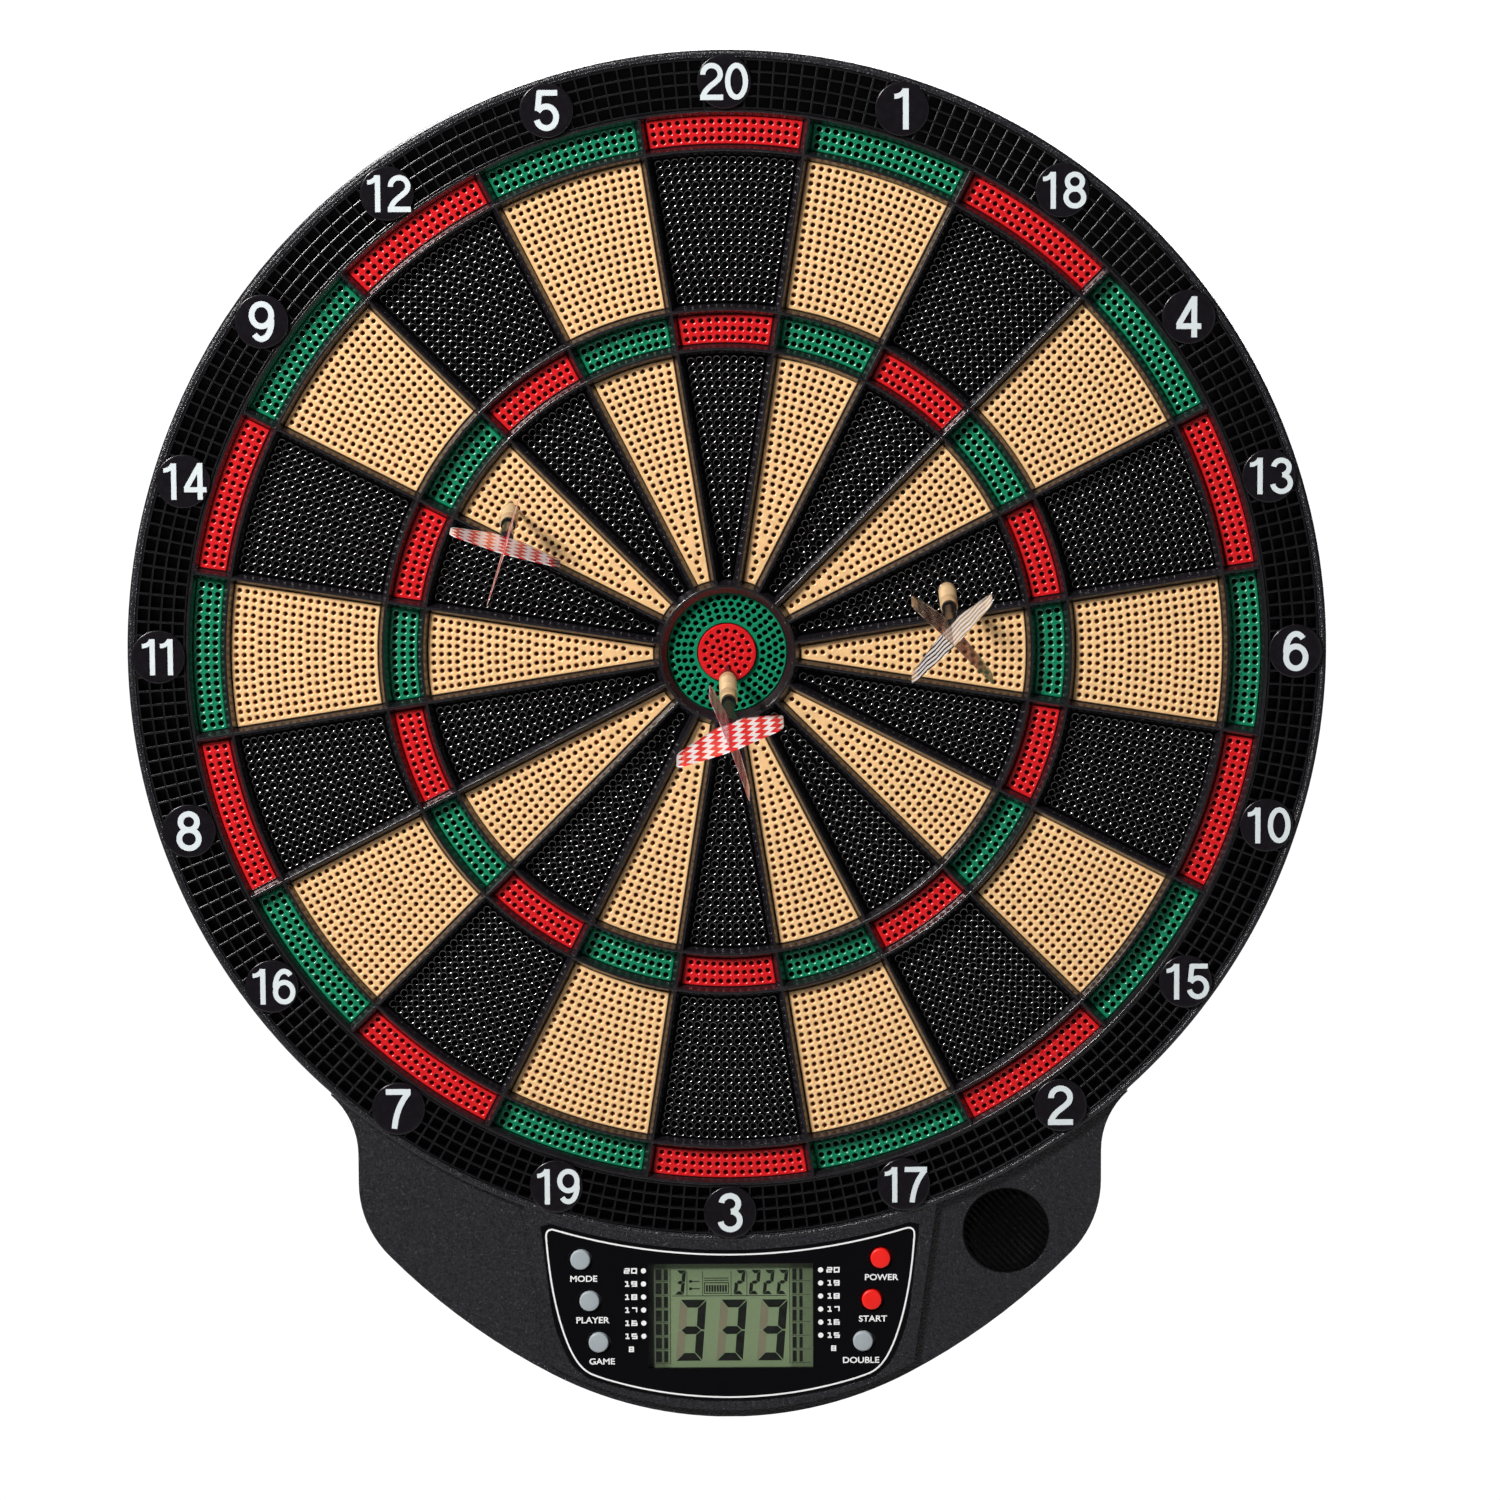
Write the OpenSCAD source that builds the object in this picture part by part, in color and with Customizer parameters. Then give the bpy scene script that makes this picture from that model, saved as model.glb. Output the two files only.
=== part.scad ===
// Electronic soft-tip dartboard, with three darts in the target.
//
// Every sub-part is drawn face up: X right, Y towards number 20 and Z out of
// the wall, with the origin on the bull's axis at the wall. on_wall() then
// stands it up, so that the finished part has +Z up and faces -Y.
// All lengths are in millimetres.

/* [Target] */
// Diameter over the outer edges of the doubles
target_d = 381.6; // [378:0.2:382]
// Radial width of a double
double_w = 9.8; // [9:0.1:11]
// Radial width of a treble
treble_w = 10; // [9:0.1:11]
// Radius of the middle of the trebles
treble_mid_r = 115.8; // [112:0.2:119]
// Radius of the inner bull
inner_bull_r = 10.4; // [9:0.1:10.5]
// Radius of the outer bull
outer_bull_r = 21.3; // [20:0.1:21.4]
// Width of a spider rib at its foot
rib_w = 3.6; // [3:0.1:4]
// Width of a spider rib at its crest
crest_w = 0.8; // [0.5:0.1:1.2]
// Gap between a rib and a segment
rib_gap = 0.2; // [0.15:0.05:0.3]
// How far a segment travels when a dart pushes it
segment_travel = 1.5; // [0.5:0.1:1.5]
// Radius of a dart hole
tip_hole_r = 0.875; // [0.85:0.025:0.95]

/* [Heights above the wall] */
// Face of the cream and the red segments
face_z = 23.5; // [23.5:0.1:23.8]
// How much lower the black and the green faces lie
low_step = 1.5; // [0:0.1:2]
// Crest of the spider ribs
crest_z = 26.4; // [26.2:0.1:26.6]
// Top of the catch ring and of the rim
ring_z = 26; // [25.8:0.1:26]
// Face of the lower housing beside the control panel
ear_z = 23; // [22.8:0.1:23.4]
// Face of the control panel
panel_z = 25.6; // [25.6:0.1:25.8]

/* [Housing] */
// Radius of the round housing
housing_r = 215; // [214.6:0.1:215.4]
// Half width of the lower housing
lobe_x = 134.2; // [132:0.2:136]
// Wall thickness of the housing
wall = 2.4; // [2.2:0.1:2.6]
// Distance of the number discs from the bull
disc_at_r = 202.9; // [202.7:0.1:203.1]
// Radius of a number disc
disc_r = 9.6; // [8.5:0.1:9.7]
// Catch ring cells per number: 13 for the full grid, fewer for a light model
cells_per_number = 2; // [1:1:13]

/* [Control panel] */
// Radius of a button
button_r = 3.6; // [3.2:0.1:3.8]
// How far a button travels
button_travel = 1; // [0.5:0.1:1]
// Half width of the display window
window_x = 29.8; // [28:0.2:30]
// Top of the display window, below the bull
window_top = -222.1; // [-222.5:0.1:-221.5]
// Bottom of the display window, below the bull
window_bottom = -260.5; // [-261:0.1:-260]
// Radius of the loudspeaker grille
grille_r = 15.9; // [14:0.1:16]

/* [Wall mounting] */
// Distance between the two keyholes
keyhole_spacing = 200; // [180:5:210]
// Radius of a keyhole's entry, for the screw head
keyhole_entry_r = 4.5; // [4:0.1:5]

/* [Darts] */
// Length of the brass barrel
barrel_l = 36; // [32:1:40]
// Radius of the brass barrel
barrel_r = 3.1; // [2.8:0.1:3.4]
// Half span of a flight
flight_span = 19.3; // [18:0.1:20]
// Length of a flight
flight_l = 42; // [38:1:44]

/* [Hidden] */
$fn = 48;
big_fn = 240; // facets of the large rings
eps = 0.05;   // how far a cutting tool runs past a face

// The numbers, clockwise from the top
ORDER = [20, 1, 18, 4, 13, 6, 10, 15, 2, 17, 3, 19, 7, 16, 8, 11, 14, 9, 12, 5];
numbers = len(ORDER);
step = 360 / numbers;
half = step / 2;

// Target rings, from the outside in
gap = rib_w + 2 * rib_gap;
double_out = target_d / 2;
double_in = double_out - double_w;
outer_single_out = double_in - gap;
treble_out = treble_mid_r + treble_w / 2;
outer_single_in = treble_out + gap;
treble_in = treble_mid_r - treble_w / 2;
inner_single_out = treble_in - gap;
bull_ring_in = outer_bull_r + rib_gap;
bull_ring_out = bull_ring_in + 4.7;
inner_single_in = bull_ring_out + rib_gap;

// Stack of layers, from the wall out
floor_low = 7.6;        // back of the rear cover's target floor
floor_top = 10;         // front of that floor
membrane_z = 10.2;
membrane_t = 0.6;
foam_z = 11;
foam_t = 2;
foam_clearance = 0.1;
leg_z = foam_z + foam_t + segment_travel + foam_clearance;
low_face_z = face_z - low_step;
flange_z = 17.7;
flange_t = 1.6;
flange_w = 1.1;
rib_z = flange_z + flange_t + 0.2;
shelf_z = 12.4;
shelf_t = 2;
ring_floor_z = shelf_z + shelf_t + 0.1;
parting_z = 6;
skirt_r = double_out + 1.4;
ring_in = double_out + 2.5;
ring_out = 211.2;

// Dart holes in an inner single: rows of holes at an even pitch
row_first = inner_single_in + 2.1;
rows = 28;
row_pitch = (inner_single_out - 2 - row_first) / (rows - 1);
hole_edge = rib_w / 2 + rib_gap + 2.1;  // hole centre to the wedge's edge line
least_pitch = 2.75;
function row_r(k) = row_first + k * row_pitch;
function row_half(r) = half - asin(hole_edge / r);
function row_count(r) =
    1 + floor(2 * row_half(r) * PI / 180 * r / least_pitch);
function hole_angle(r, i) =
    row_half(r) * (2 * i / (row_count(r) - 1) - 1);

// Angle of a number from +X, and a polar point
function number_angle(n) = 90 - step * search(n, ORDER)[0];
function polar(r, a) = [r * cos(a), r * sin(a)];

// Where each dart goes in: the holes of rings and rows that are there anyway
bull_hole_ring_r = 5.3;
dart_1_at = polar(bull_hole_ring_r, -90);
dart_2_row = row_r(23);
dart_2_at = polar(dart_2_row, number_angle(9) + hole_angle(dart_2_row, 4));
dart_3_row = row_r(19);
dart_3_at = polar(dart_3_row, number_angle(13) + hole_angle(dart_3_row, 3));
// Lean of each dart: how far its tail drops and swings, in degrees
dart_1_lean = [6.2, 0.5];
dart_2_lean = [2.6, 1];
dart_3_lean = [4.2, -1];
// Turn of each flight about its own axis
dart_1_turn = 20;
dart_2_turn = -17.5;
dart_3_turn = 46;

// Dart lengths along the dart, from the bend at the face
tip_in = 4.6;
tip_r = 0.7;
bend_z = face_z + 0.9;
tip_l = 17;
spigot_l = 6;
stem_l = 36;
flight_from = tip_l + barrel_l + stem_l - 3;

// Control panel
panel_t = 1.2;
panel_floor_t = 2;
pod_under_z = panel_z - panel_t - panel_floor_t;
ear_under_z = ear_z - wall;
board_z = 17.7;
board_t = 1.4;
switch_t = 1.3;
button_top = panel_z + 1.4;
button_flange_z = board_z + board_t + switch_t + button_travel + 0.1;
button_hole_r = 4.4;
// Button rows: distance from the centre line, and height
BUTTON_ROWS = [[54.3, -220.2], [51.1, -235.5], [47.9, -250.8]];
speaker_at = [99.9, -211];

// Batteries: three AA cells lying across the housing
cell_r = 7.1;
cell_l = 50;
cell_z = 9.4;
cell_rows = [-229.5, -244.5, -259.5];
box_x = 27.6;
box_top = -221.8;
box_bottom = -267.2;
box_t = 1.2;
door_gap = 0.3;
door_t = 2;
hinge_y = box_bottom + 1.3;
hinge_z = 1;
pin_r = 0.8;
pin_gap = 0.08;

// Screws: one ring of them, and four in the lower housing
screw_ring_r = 203;
screw_ring = 10;
LOBE_SCREWS = [[122, -203], [78, -243], [-78, -243], [-122, -203]];
post_r = 3.2;
screw_r = 1.4;
screw_head_r = 2.8;

// Points of an arc, from angle a to angle b
function arc(c, r, a, b, n = 12) =
    [for (i = [0:n]) c + polar(r, a + (b - a) * i / n)];
// A list of points, then the same points mirrored and in reverse
function both_sides(right) =
    concat(right, [for (i = [len(right) - 1:-1:0]) [-right[i].x, right[i].y]]);

// Outline of the lower housing, drawn in by a distance: a hollow fillet off
// the round housing, a short upright side, a corner, a long flank and the chin
leave_a = -48;       // where the fillet leaves the round housing
corner_r = 38;
corner_y = -192.5;
flank_r = 235;
chin_a = -62;
function lobe_right(inset) =
    let (
        start = polar(housing_r, leave_a),
        fillet_r = (start.x - lobe_x) / (1 - cos(leave_a)),
        fillet_c = start + polar(fillet_r, leave_a),
        corner_c = [lobe_x - corner_r, corner_y],
        corner_end = corner_c + polar(corner_r, -44),
        flank_c = corner_end - polar(flank_r, -44),
        flank_end = flank_c + polar(flank_r, chin_a),
        chin_r = flank_end.x / cos(chin_a),
        chin_c = [0, flank_end.y - chin_r * sin(chin_a)]
    )
    concat(
        arc(fillet_c, fillet_r + inset, leave_a + 180, 180, 8),
        arc(corner_c, corner_r - inset, 0, -44, 10),
        arc(flank_c, flank_r - inset, -46, chin_a, 8),
        arc(chin_c, chin_r - inset, chin_a - 2, -88, 12)
    );
function lobe(inset) = both_sides(lobe_right(inset));

// Outline of the faceplate, grown by a distance from its printed line
plate_top_r = 218.7;
plate_side = [63.4, -237];
plate_corner_r = 55;
plate_chin_r = 153;
function plate_right(grow) =
    let (
        corner_c = plate_side - polar(plate_corner_r, -7),
        chin_c = [0, -271.4 + plate_chin_r]
    )
    concat(
        arc([0, 0], plate_top_r - grow, -90, -72.6, 10),
        [[66.8 + grow, -209.5 + grow]],
        arc(corner_c, plate_corner_r + grow, -7, -31, 6),
        arc(chin_c, plate_chin_r + grow, -70.3, -88, 8)
    );
function plate(grow) = both_sides(plate_right(grow));

// ---------------------------------------------------------------- helpers

module on_wall() rotate([90, 0, 0]) children();

// Prism of an outline between two heights
module slab(points, z0, z1)
    translate([0, 0, z0]) linear_extrude(z1 - z0) polygon(points);

// Flat block between two corners
module block(low, high) translate(low) cube(high - low);

module disc(r, z0, z1, fn = 48)
    translate([0, 0, z0]) cylinder(r = r, h = z1 - z0, $fn = fn);

module tube(r_in, r_out, z0, z1, fn = big_fn)
    difference() {
        disc(r_out, z0, z1, fn);
        disc(r_in, z0 - eps, z1 + eps, fn);
    }

// Part of a ring inside one number's wedge, pointing along +X, with straight
// sides that keep a distance from the wedge's edge lines
module sector(r_in, r_out, side, z0, z1) {
    apex = side / sin(half);
    far = r_out * 1.1;
    y = (far - apex) * tan(half);
    intersection() {
        tube(r_in, r_out, z0, z1);
        slab([[apex, 0], [far, -y], [far, y]], z0 - eps, z1 + eps);
    }
}

module screw_places() {
    for (i = [0:screw_ring - 1])
        translate(polar(screw_ring_r, 360 / screw_ring * i)) children();
    for (p = LOBE_SCREWS) translate(p) children();
}

// ----------------------------------------------------------------- target

// One segment: a face block that stands on the foam, and a flange that keeps
// it behind the spider
module segment(r_in, r_out, face) {
    sector(r_in, r_out, gap / 2, leg_z, face);
    sector(r_in - flange_w, r_out + flange_w, gap / 2 - flange_w,
        flange_z, flange_z + flange_t);
}

module tip_hole() disc(tip_hole_r, leg_z - 1, face_z + 1, 24);

// The four segments of one number: black singles with red rings, or cream
// singles with green rings
module number_segments(n, dark = false) {
    ring_face = dark ? face_z : low_face_z;
    single_face = dark ? low_face_z : face_z;
    color(dark ? "#151515" : "navajowhite") on_wall() difference() {
        rotate(number_angle(n)) {
            segment(double_in, double_out, ring_face);
            segment(outer_single_in, outer_single_out, single_face);
            segment(treble_in, treble_out, ring_face);
            segment(inner_single_in, inner_single_out, single_face);
        }
        if (n == 9) translate(dart_2_at) tip_hole();
        if (n == 13) translate(dart_3_at) tip_hole();
    }
}

module inner_bull() {
    color("red") on_wall() difference() {
        union() {
            disc(inner_bull_r, leg_z, face_z);
            disc(inner_bull_r + 1.3, leg_z, leg_z + 1.4);
        }
        tip_hole();
        translate(dart_1_at) tip_hole();
    }
}

module outer_bull() {
    hollow_z = leg_z + 1.4 + segment_travel + 0.3;
    color("seagreen") on_wall() difference() {
        union() {
            disc(outer_bull_r, leg_z, low_face_z, big_fn);
            disc(outer_bull_r + flange_w, flange_z, flange_z + flange_t, big_fn);
        }
        disc(inner_bull_r + 0.3, leg_z - 1, face_z + 1);
        disc(inner_bull_r + 1.8, leg_z - 1, hollow_z);
    }
}

// Section of a rib: an upright foot, then a sharp roof
function rib_section(at, low = 0) = [
    [at - rib_w / 2, rib_z + low], [at + rib_w / 2, rib_z + low],
    [at + rib_w / 2, face_z - 0.2 - low], [at + crest_w / 2, crest_z - low],
    [at - crest_w / 2, crest_z - low], [at - rib_w / 2, face_z - 0.2 - low]];

module spider() {
    rib_from = bull_ring_in + 1.5;
    rib_to = skirt_r - 0.3;
    spoke_low = 0.12;  // the spokes' crests lie this far under the rings'
    color("#18161a") on_wall() {
        for (r = [double_in, outer_single_in, treble_in])
            rotate_extrude($fn = big_fn) polygon(rib_section(r - gap / 2));
        rotate_extrude($fn = big_fn) polygon([
            [bull_ring_in, rib_z], [bull_ring_out, rib_z],
            [bull_ring_out, face_z - 0.2], [bull_ring_in + 3, crest_z],
            [bull_ring_in + 2.2, crest_z], [bull_ring_in, face_z + 0.5]]);
        rotate_extrude($fn = big_fn) polygon([
            [double_out + 0.2, rib_z], [skirt_r, rib_z],
            [skirt_r, ring_floor_z], [skirt_r + 0.9, ring_floor_z],
            [skirt_r + 0.9, ring_z], [skirt_r + 0.1, ring_z],
            [double_out + 0.2, face_z + 0.5]]);
        for (i = [0:numbers - 1])
            rotate([90, 0, half + step * i])
                translate([0, 0, rib_from])
                    linear_extrude(rib_to - rib_from) polygon(rib_section(0, spoke_low));
    }
}

// ------------------------------------------------------------ catch ring

module catch_ring() {
    cell_walls = 0.7;
    rings = 4;
    pitch = (ring_out - ring_in - cell_walls) / rings;
    color("#141214") on_wall() {
        tube(ring_in, ring_out, ring_floor_z, ring_floor_z + 1.5);
        for (k = [0:rings])
            tube(ring_in + k * pitch, ring_in + k * pitch + cell_walls,
                ring_floor_z, ring_z);
        for (i = [0:numbers * cells_per_number - 1])
            rotate(half + step / cells_per_number * i)
                block([ring_in + cell_walls / 2, -cell_walls / 2, ring_floor_z],
                    [ring_out - cell_walls / 2, cell_walls / 2, ring_z]);
    }
}

module number_discs() {
    color("#1b181c") on_wall()
        for (i = [0:numbers - 1])
            translate(polar(disc_at_r, 90 - step * i))
                disc(disc_r, ring_z + 0.1, ring_z + 1.3);
}

// --------------------------------------------------------------- housing

// Louvres of the loudspeaker grille
module grille_slots() {
    slot_w = 1.1;
    slot_pitch = 2;
    intersection() {
        disc(grille_r - 0.9, ear_under_z - 1, ear_z + 1);
        rotate(-45)
            for (i = [-7:7])
                block([-grille_r, i * slot_pitch - slot_w / 2, ear_under_z - 1],
                    [grille_r, i * slot_pitch + slot_w / 2, ear_z + 1]);
    }
}

module front_housing() {
    pod = [[76, -190], [66, -262], [52, -290], [-52, -290], [-66, -262], [-76, -190]];
    rim_under = housing_r - wall - 0.2;
    color("#1c1a1b") on_wall() difference() {
        union() {
            // Round rim, with the shelf that the catch ring and spider stand on
            rotate_extrude($fn = big_fn) polygon([
                [housing_r, parting_z + 0.1], [housing_r, 8],
                [housing_r - 1.1, 21.5], [housing_r - 2, 24.6],
                [housing_r - 3.1, ring_z], [ring_out + 0.2, ring_z],
                [ring_out + 0.2, shelf_z + shelf_t], [skirt_r - 0.1, shelf_z + shelf_t],
                [skirt_r - 0.1, shelf_z], [rim_under - 1, shelf_z],
                [rim_under, parting_z + 0.1]]);
            // Lower housing: a shell, and the raised pod under the faceplate
            difference() {
                union() {
                    slab(lobe(0), parting_z + 0.1, ear_z);
                    intersection() {
                        slab(lobe(3), ear_under_z, panel_z);
                        slab(pod, ear_under_z, panel_z);
                    }
                }
                slab(lobe(wall), parting_z - 1, ear_under_z);
                intersection() {
                    slab(lobe(5.4), ear_under_z - 1, pod_under_z);
                    slab(pod * 0.985, ear_under_z - 1, pod_under_z);
                }
                disc(rim_under, parting_z - 1, panel_z + 1, big_fn);
            }
            // Screw posts
            for (i = [0:screw_ring - 1])
                translate(polar(screw_ring_r, 360 / screw_ring * i))
                    disc(post_r, parting_z + 0.1, shelf_z + eps);
            for (p = LOBE_SCREWS)
                translate(p) disc(post_r, parting_z + 0.1, ear_under_z + eps);
        }
        screw_places() disc(screw_r + 0.1, parting_z - 1, shelf_z - 0.6, 24);
        // Seat of the faceplate, the display opening and the button holes
        slab(plate(1.7), panel_z - panel_t - 0.1, panel_z + 1);
        block([-window_x - 2.2, window_bottom - 2.1, pod_under_z - 1],
            [window_x + 2.2, window_top + 2.1, panel_z]);
        for (p = BUTTON_ROWS, s = [-1, 1])
            translate([s * p.x, p.y]) disc(button_hole_r, pod_under_z - 1, panel_z);
        // Grille: a shallow dish, then louvres
        translate(speaker_at) disc(grille_r, ear_z - 0.8, ear_z + 1);
        translate(speaker_at) grille_slots();
        // Way through for the ribbon cable
        block([33, -217, parting_z + 4.4], [51, -200, shelf_z - 0.2]);
    }
}

module rear_cover() {
    rib_t = 1.6;
    hub_r = 30;
    key_y = 112;
    color("#222124") on_wall() difference() {
        union() {
            // Rim band, ledge, step and the raised floor behind the target
            rotate_extrude($fn = big_fn) polygon([
                [0, floor_low], [186, floor_low], [186, 3.6], [212.6, 3.6],
                [212.6, 0], [housing_r, 0], [housing_r, parting_z],
                [188.4, parting_z], [188.4, floor_top], [0, floor_top]]);
            // Ribs on the back
            for (r = [60, 110, 160]) tube(r, r + rib_t, 0, floor_low + eps);
            for (i = [0:numbers - 1]) rotate(step * i)
                block([hub_r - 1, -rib_t / 2, 0], [186.5, rib_t / 2, floor_low + eps]);
            tube(hub_r - 3, hub_r, 0, floor_low + eps);
            disc(hub_r, 0, wall, big_fn);
            // Bosses for the keyholes
            for (s = [-1, 1])
                block([s * keyhole_spacing / 2 - 13, key_y - 13, 0],
                    [s * keyhole_spacing / 2 + 13, key_y + 21, floor_low + eps]);
            // Lower housing tray, with screw cups and the battery box
            difference() {
                union() {
                    slab(lobe(0), 0, parting_z);
                    block([-box_x - box_t, box_bottom - box_t, 0],
                        [box_x + box_t, box_top + box_t, 17.4]);
                }
                difference() {
                    slab(lobe(wall), wall, parting_z + 1);
                    block([-box_x - box_t, box_bottom - box_t, 0],
                        [box_x + box_t, box_top + box_t, 18]);
                    for (p = LOBE_SCREWS) translate(p) disc(5, 0, parting_z + 1);
                }
                disc(housing_r - 1, -1, 18, big_fn);
            }
        }
        // Keyholes: a pocket for the screw head, its entry and the slot above
        for (s = [-1, 1]) translate([s * keyhole_spacing / 2, key_y]) {
            block([-10.6, -10.6, wall], [10.6, 18.6, floor_low]);
            disc(keyhole_entry_r, -1, wall + eps);
            block([-2.25, 0, -1], [2.25, 11, wall + eps]);
            translate([0, 11]) disc(2.25, -1, wall + eps);
        }
        // Battery box, open to the back, with sockets for the door's pins
        block([-box_x, box_bottom, -1], [box_x, box_top, 20]);
        for (s = [-1, 1])
            translate([s * box_x, hinge_y, hinge_z]) rotate([0, 90, 0])
                cylinder(r = pin_r + pin_gap, h = 3.6, center = true);
        // Screw holes and the pockets for their heads
        screw_places() {
            disc(screw_r + 0.3, -1, parting_z + 1, 24);
            disc(screw_head_r + 0.4, -1, 3.6, 24);
        }
    }
}

module battery_door() {
    color("#26252a") on_wall() {
        difference() {
            union() {
                block([-box_x + door_gap, hinge_y, 0],
                    [box_x - door_gap, box_top - door_gap, door_t]);
                translate([-box_x + door_gap, hinge_y, hinge_z]) rotate([0, 90, 0])
                    cylinder(r = door_t / 2, h = 2 * (box_x - door_gap));
                for (s = [-1, 1])
                    translate([s * (box_x - 0.3), hinge_y, hinge_z]) rotate([0, 90, 0])
                        cylinder(r = pin_r, h = 2.4, center = true);
            }
            // Finger scoop at the free edge
            translate([0, box_top - 4, -3.2]) sphere(r = 4.4);
        }
    }
}

module screws() {
    color("silver") on_wall() screw_places() {
        difference() {
            disc(screw_head_r, 1.6, 3.5, 24);
            for (a = [0, 90]) rotate(a) block([-1.7, -0.35, 1], [1.7, 0.35, 2.5]);
        }
        disc(screw_r, 3.5 - eps, 11.5, 24);
    }
}

// --------------------------------------------------------- control panel

module faceplate() {
    color("#08070a") on_wall() difference() {
        slab(plate(1.5), panel_z - panel_t, panel_z);
        block([-window_x, window_bottom, panel_z - 2], [window_x, window_top, panel_z + 1]);
        for (p = BUTTON_ROWS, s = [-1, 1])
            translate([s * p.x, p.y]) disc(button_hole_r, panel_z - 2, panel_z + 1);
    }
}

module window_lens() {
    color([0.85, 0.9, 0.9, 0.3]) on_wall()
        block([-window_x - 1.9, window_bottom - 1.8, panel_z - panel_t - 0.9],
            [window_x + 1.9, window_top + 1.8, panel_z - panel_t - 0.1]);
}

module lcd_panel() {
    color("#7f9079") on_wall()
        block([-window_x - 1.7, window_bottom - 1.6, board_z + board_t + 0.1],
            [window_x + 1.7, window_top + 1.6, panel_z - panel_t - 1.1]);
}

module circuit_board() {
    color("#1e5a38") on_wall()
        slab([[-60, -216.6], [60, -216.6], [60, -246], [52, -257],
            [-52, -257], [-60, -246]], board_z, board_z + board_t);
}

module tact_switches() {
    top = board_z + board_t;
    color("dimgray") on_wall()
        for (p = BUTTON_ROWS, s = [-1, 1]) translate([s * p.x, p.y]) {
            block([-3, -3, top], [3, 3, top + 0.9]);
            disc(1.7, top + 0.9 - eps, top + switch_t, 24);
        }
}

// A round button: the cap runs through the faceplate, the flange under the
// housing keeps it in
module button(row, side, tone) {
    color(tone) on_wall() translate([side * BUTTON_ROWS[row].x, BUTTON_ROWS[row].y]) {
        disc(button_r, button_flange_z, button_top - 0.5);
        translate([0, 0, button_top - 0.5])
            cylinder(r1 = button_r, r2 = button_r - 0.5, h = 0.5);
        disc(button_r + 1.5, button_flange_z, pod_under_z - 0.1);
    }
}
module mode_button() button(0, -1, "lightgray");
module player_button() button(1, -1, "lightgray");
module game_button() button(2, -1, "lightgray");
module power_button() button(0, 1, "red");
module start_button() button(1, 1, "red");
module double_button() button(2, 1, "lightgray");

// ------------------------------------------------------- behind the target

module foam_mat() {
    color("#3c3c40") on_wall() disc(double_out - 0.6, foam_z, foam_z + foam_t, big_fn);
}

module membrane_switch() {
    color("#b9a65a") on_wall()
        disc(double_out - 2.6, membrane_z, membrane_z + membrane_t, big_fn);
}

// From the edge of the membrane, out under the shelf, and up to the circuit board
module ribbon_cable() {
    left = 35;
    right = 49;
    sheet_t = 0.4;
    tail_z = membrane_z + 0.1;
    run_z = 10.9;
    tail_y = -double_out + 5.6;
    step_y = -double_out - 0.4;
    board_y = -223;
    color("#c9c4b0") on_wall() {
        block([left, step_y - sheet_t, tail_z], [right, tail_y, tail_z + sheet_t]);
        block([left, step_y - sheet_t, tail_z], [right, step_y, run_z + sheet_t]);
        block([left, board_y, run_z], [right, step_y, run_z + sheet_t]);
        block([left, board_y, run_z], [right, board_y + sheet_t, board_z - 0.05]);
    }
}

module speaker() {
    color("#3a3a3e") on_wall() translate(speaker_at) {
        difference() {
            union() {
                disc(15.6, 15.8, 19.8);
                disc(9, 9.6, 16);
            }
            translate([0, 0, 17]) cylinder(r1 = 5, r2 = 13.4, h = 3);
        }
    }
}

// A wire that runs along X at one height, then turns up
module wire(from_x, to_x, y, low_z, top_z) {
    r = 0.6;
    bend_r = 2;
    side = sign(to_x - from_x);
    run = abs(to_x - from_x) - bend_r;
    translate([from_x, y, low_z]) rotate([0, side * 90, 0])
        cylinder(r = r, h = run, $fn = 32);
    translate([to_x - side * bend_r, y, low_z + bend_r]) rotate([90, 0, 0])
        mirror([side < 0 ? 1 : 0, 0, 0]) rotate(-90)
            rotate_extrude(angle = 90) translate([bend_r, 0]) circle(r = r, $fn = 32);
    translate([to_x, y, low_z + bend_r])
        cylinder(r = r, h = top_z - low_z - bend_r, $fn = 32);
}

module wire_harness() {
    top = board_z - 0.1;
    color("firebrick") on_wall()
        for (k = [0, 1]) {
            // Loudspeaker, then battery box
            wire(speaker_at.x - 6.5, 57, -218 - 3 * k, 14, top);
            wire(box_x + box_t + 0.8, 42, -232 - 6 * k, 12, top);
        }
}

module batteries() {
    nub = 1.2;
    color("goldenrod") on_wall()
        for (i = [0:len(cell_rows) - 1])
            translate([0, cell_rows[i], cell_z])
                rotate([0, i % 2 == 0 ? 90 : -90, 0]) {
                    translate([0, 0, -cell_l / 2])
                        cylinder(r = cell_r, h = cell_l - nub);
                    translate([0, 0, cell_l / 2 - nub - eps])
                        cylinder(r = 2.7, h = nub + eps);
                }
}

module battery_contacts() {
    t = 0.4;
    color("silver") on_wall()
        for (y = cell_rows, s = [-1, 1])
            translate([s * (box_x - 0.4), y, cell_z])
                block([-t / 2, -5.5, -5], [t / 2, 5.5, 6]);
}

// ----------------------------------------------------------------- darts

// Stands a part on a dart's axis: Z runs from the bend out to the tail
module on_dart(at, lean)
    on_wall() translate([at.x, at.y, bend_z]) rotate([lean[0], lean[1], 0]) children();

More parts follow.
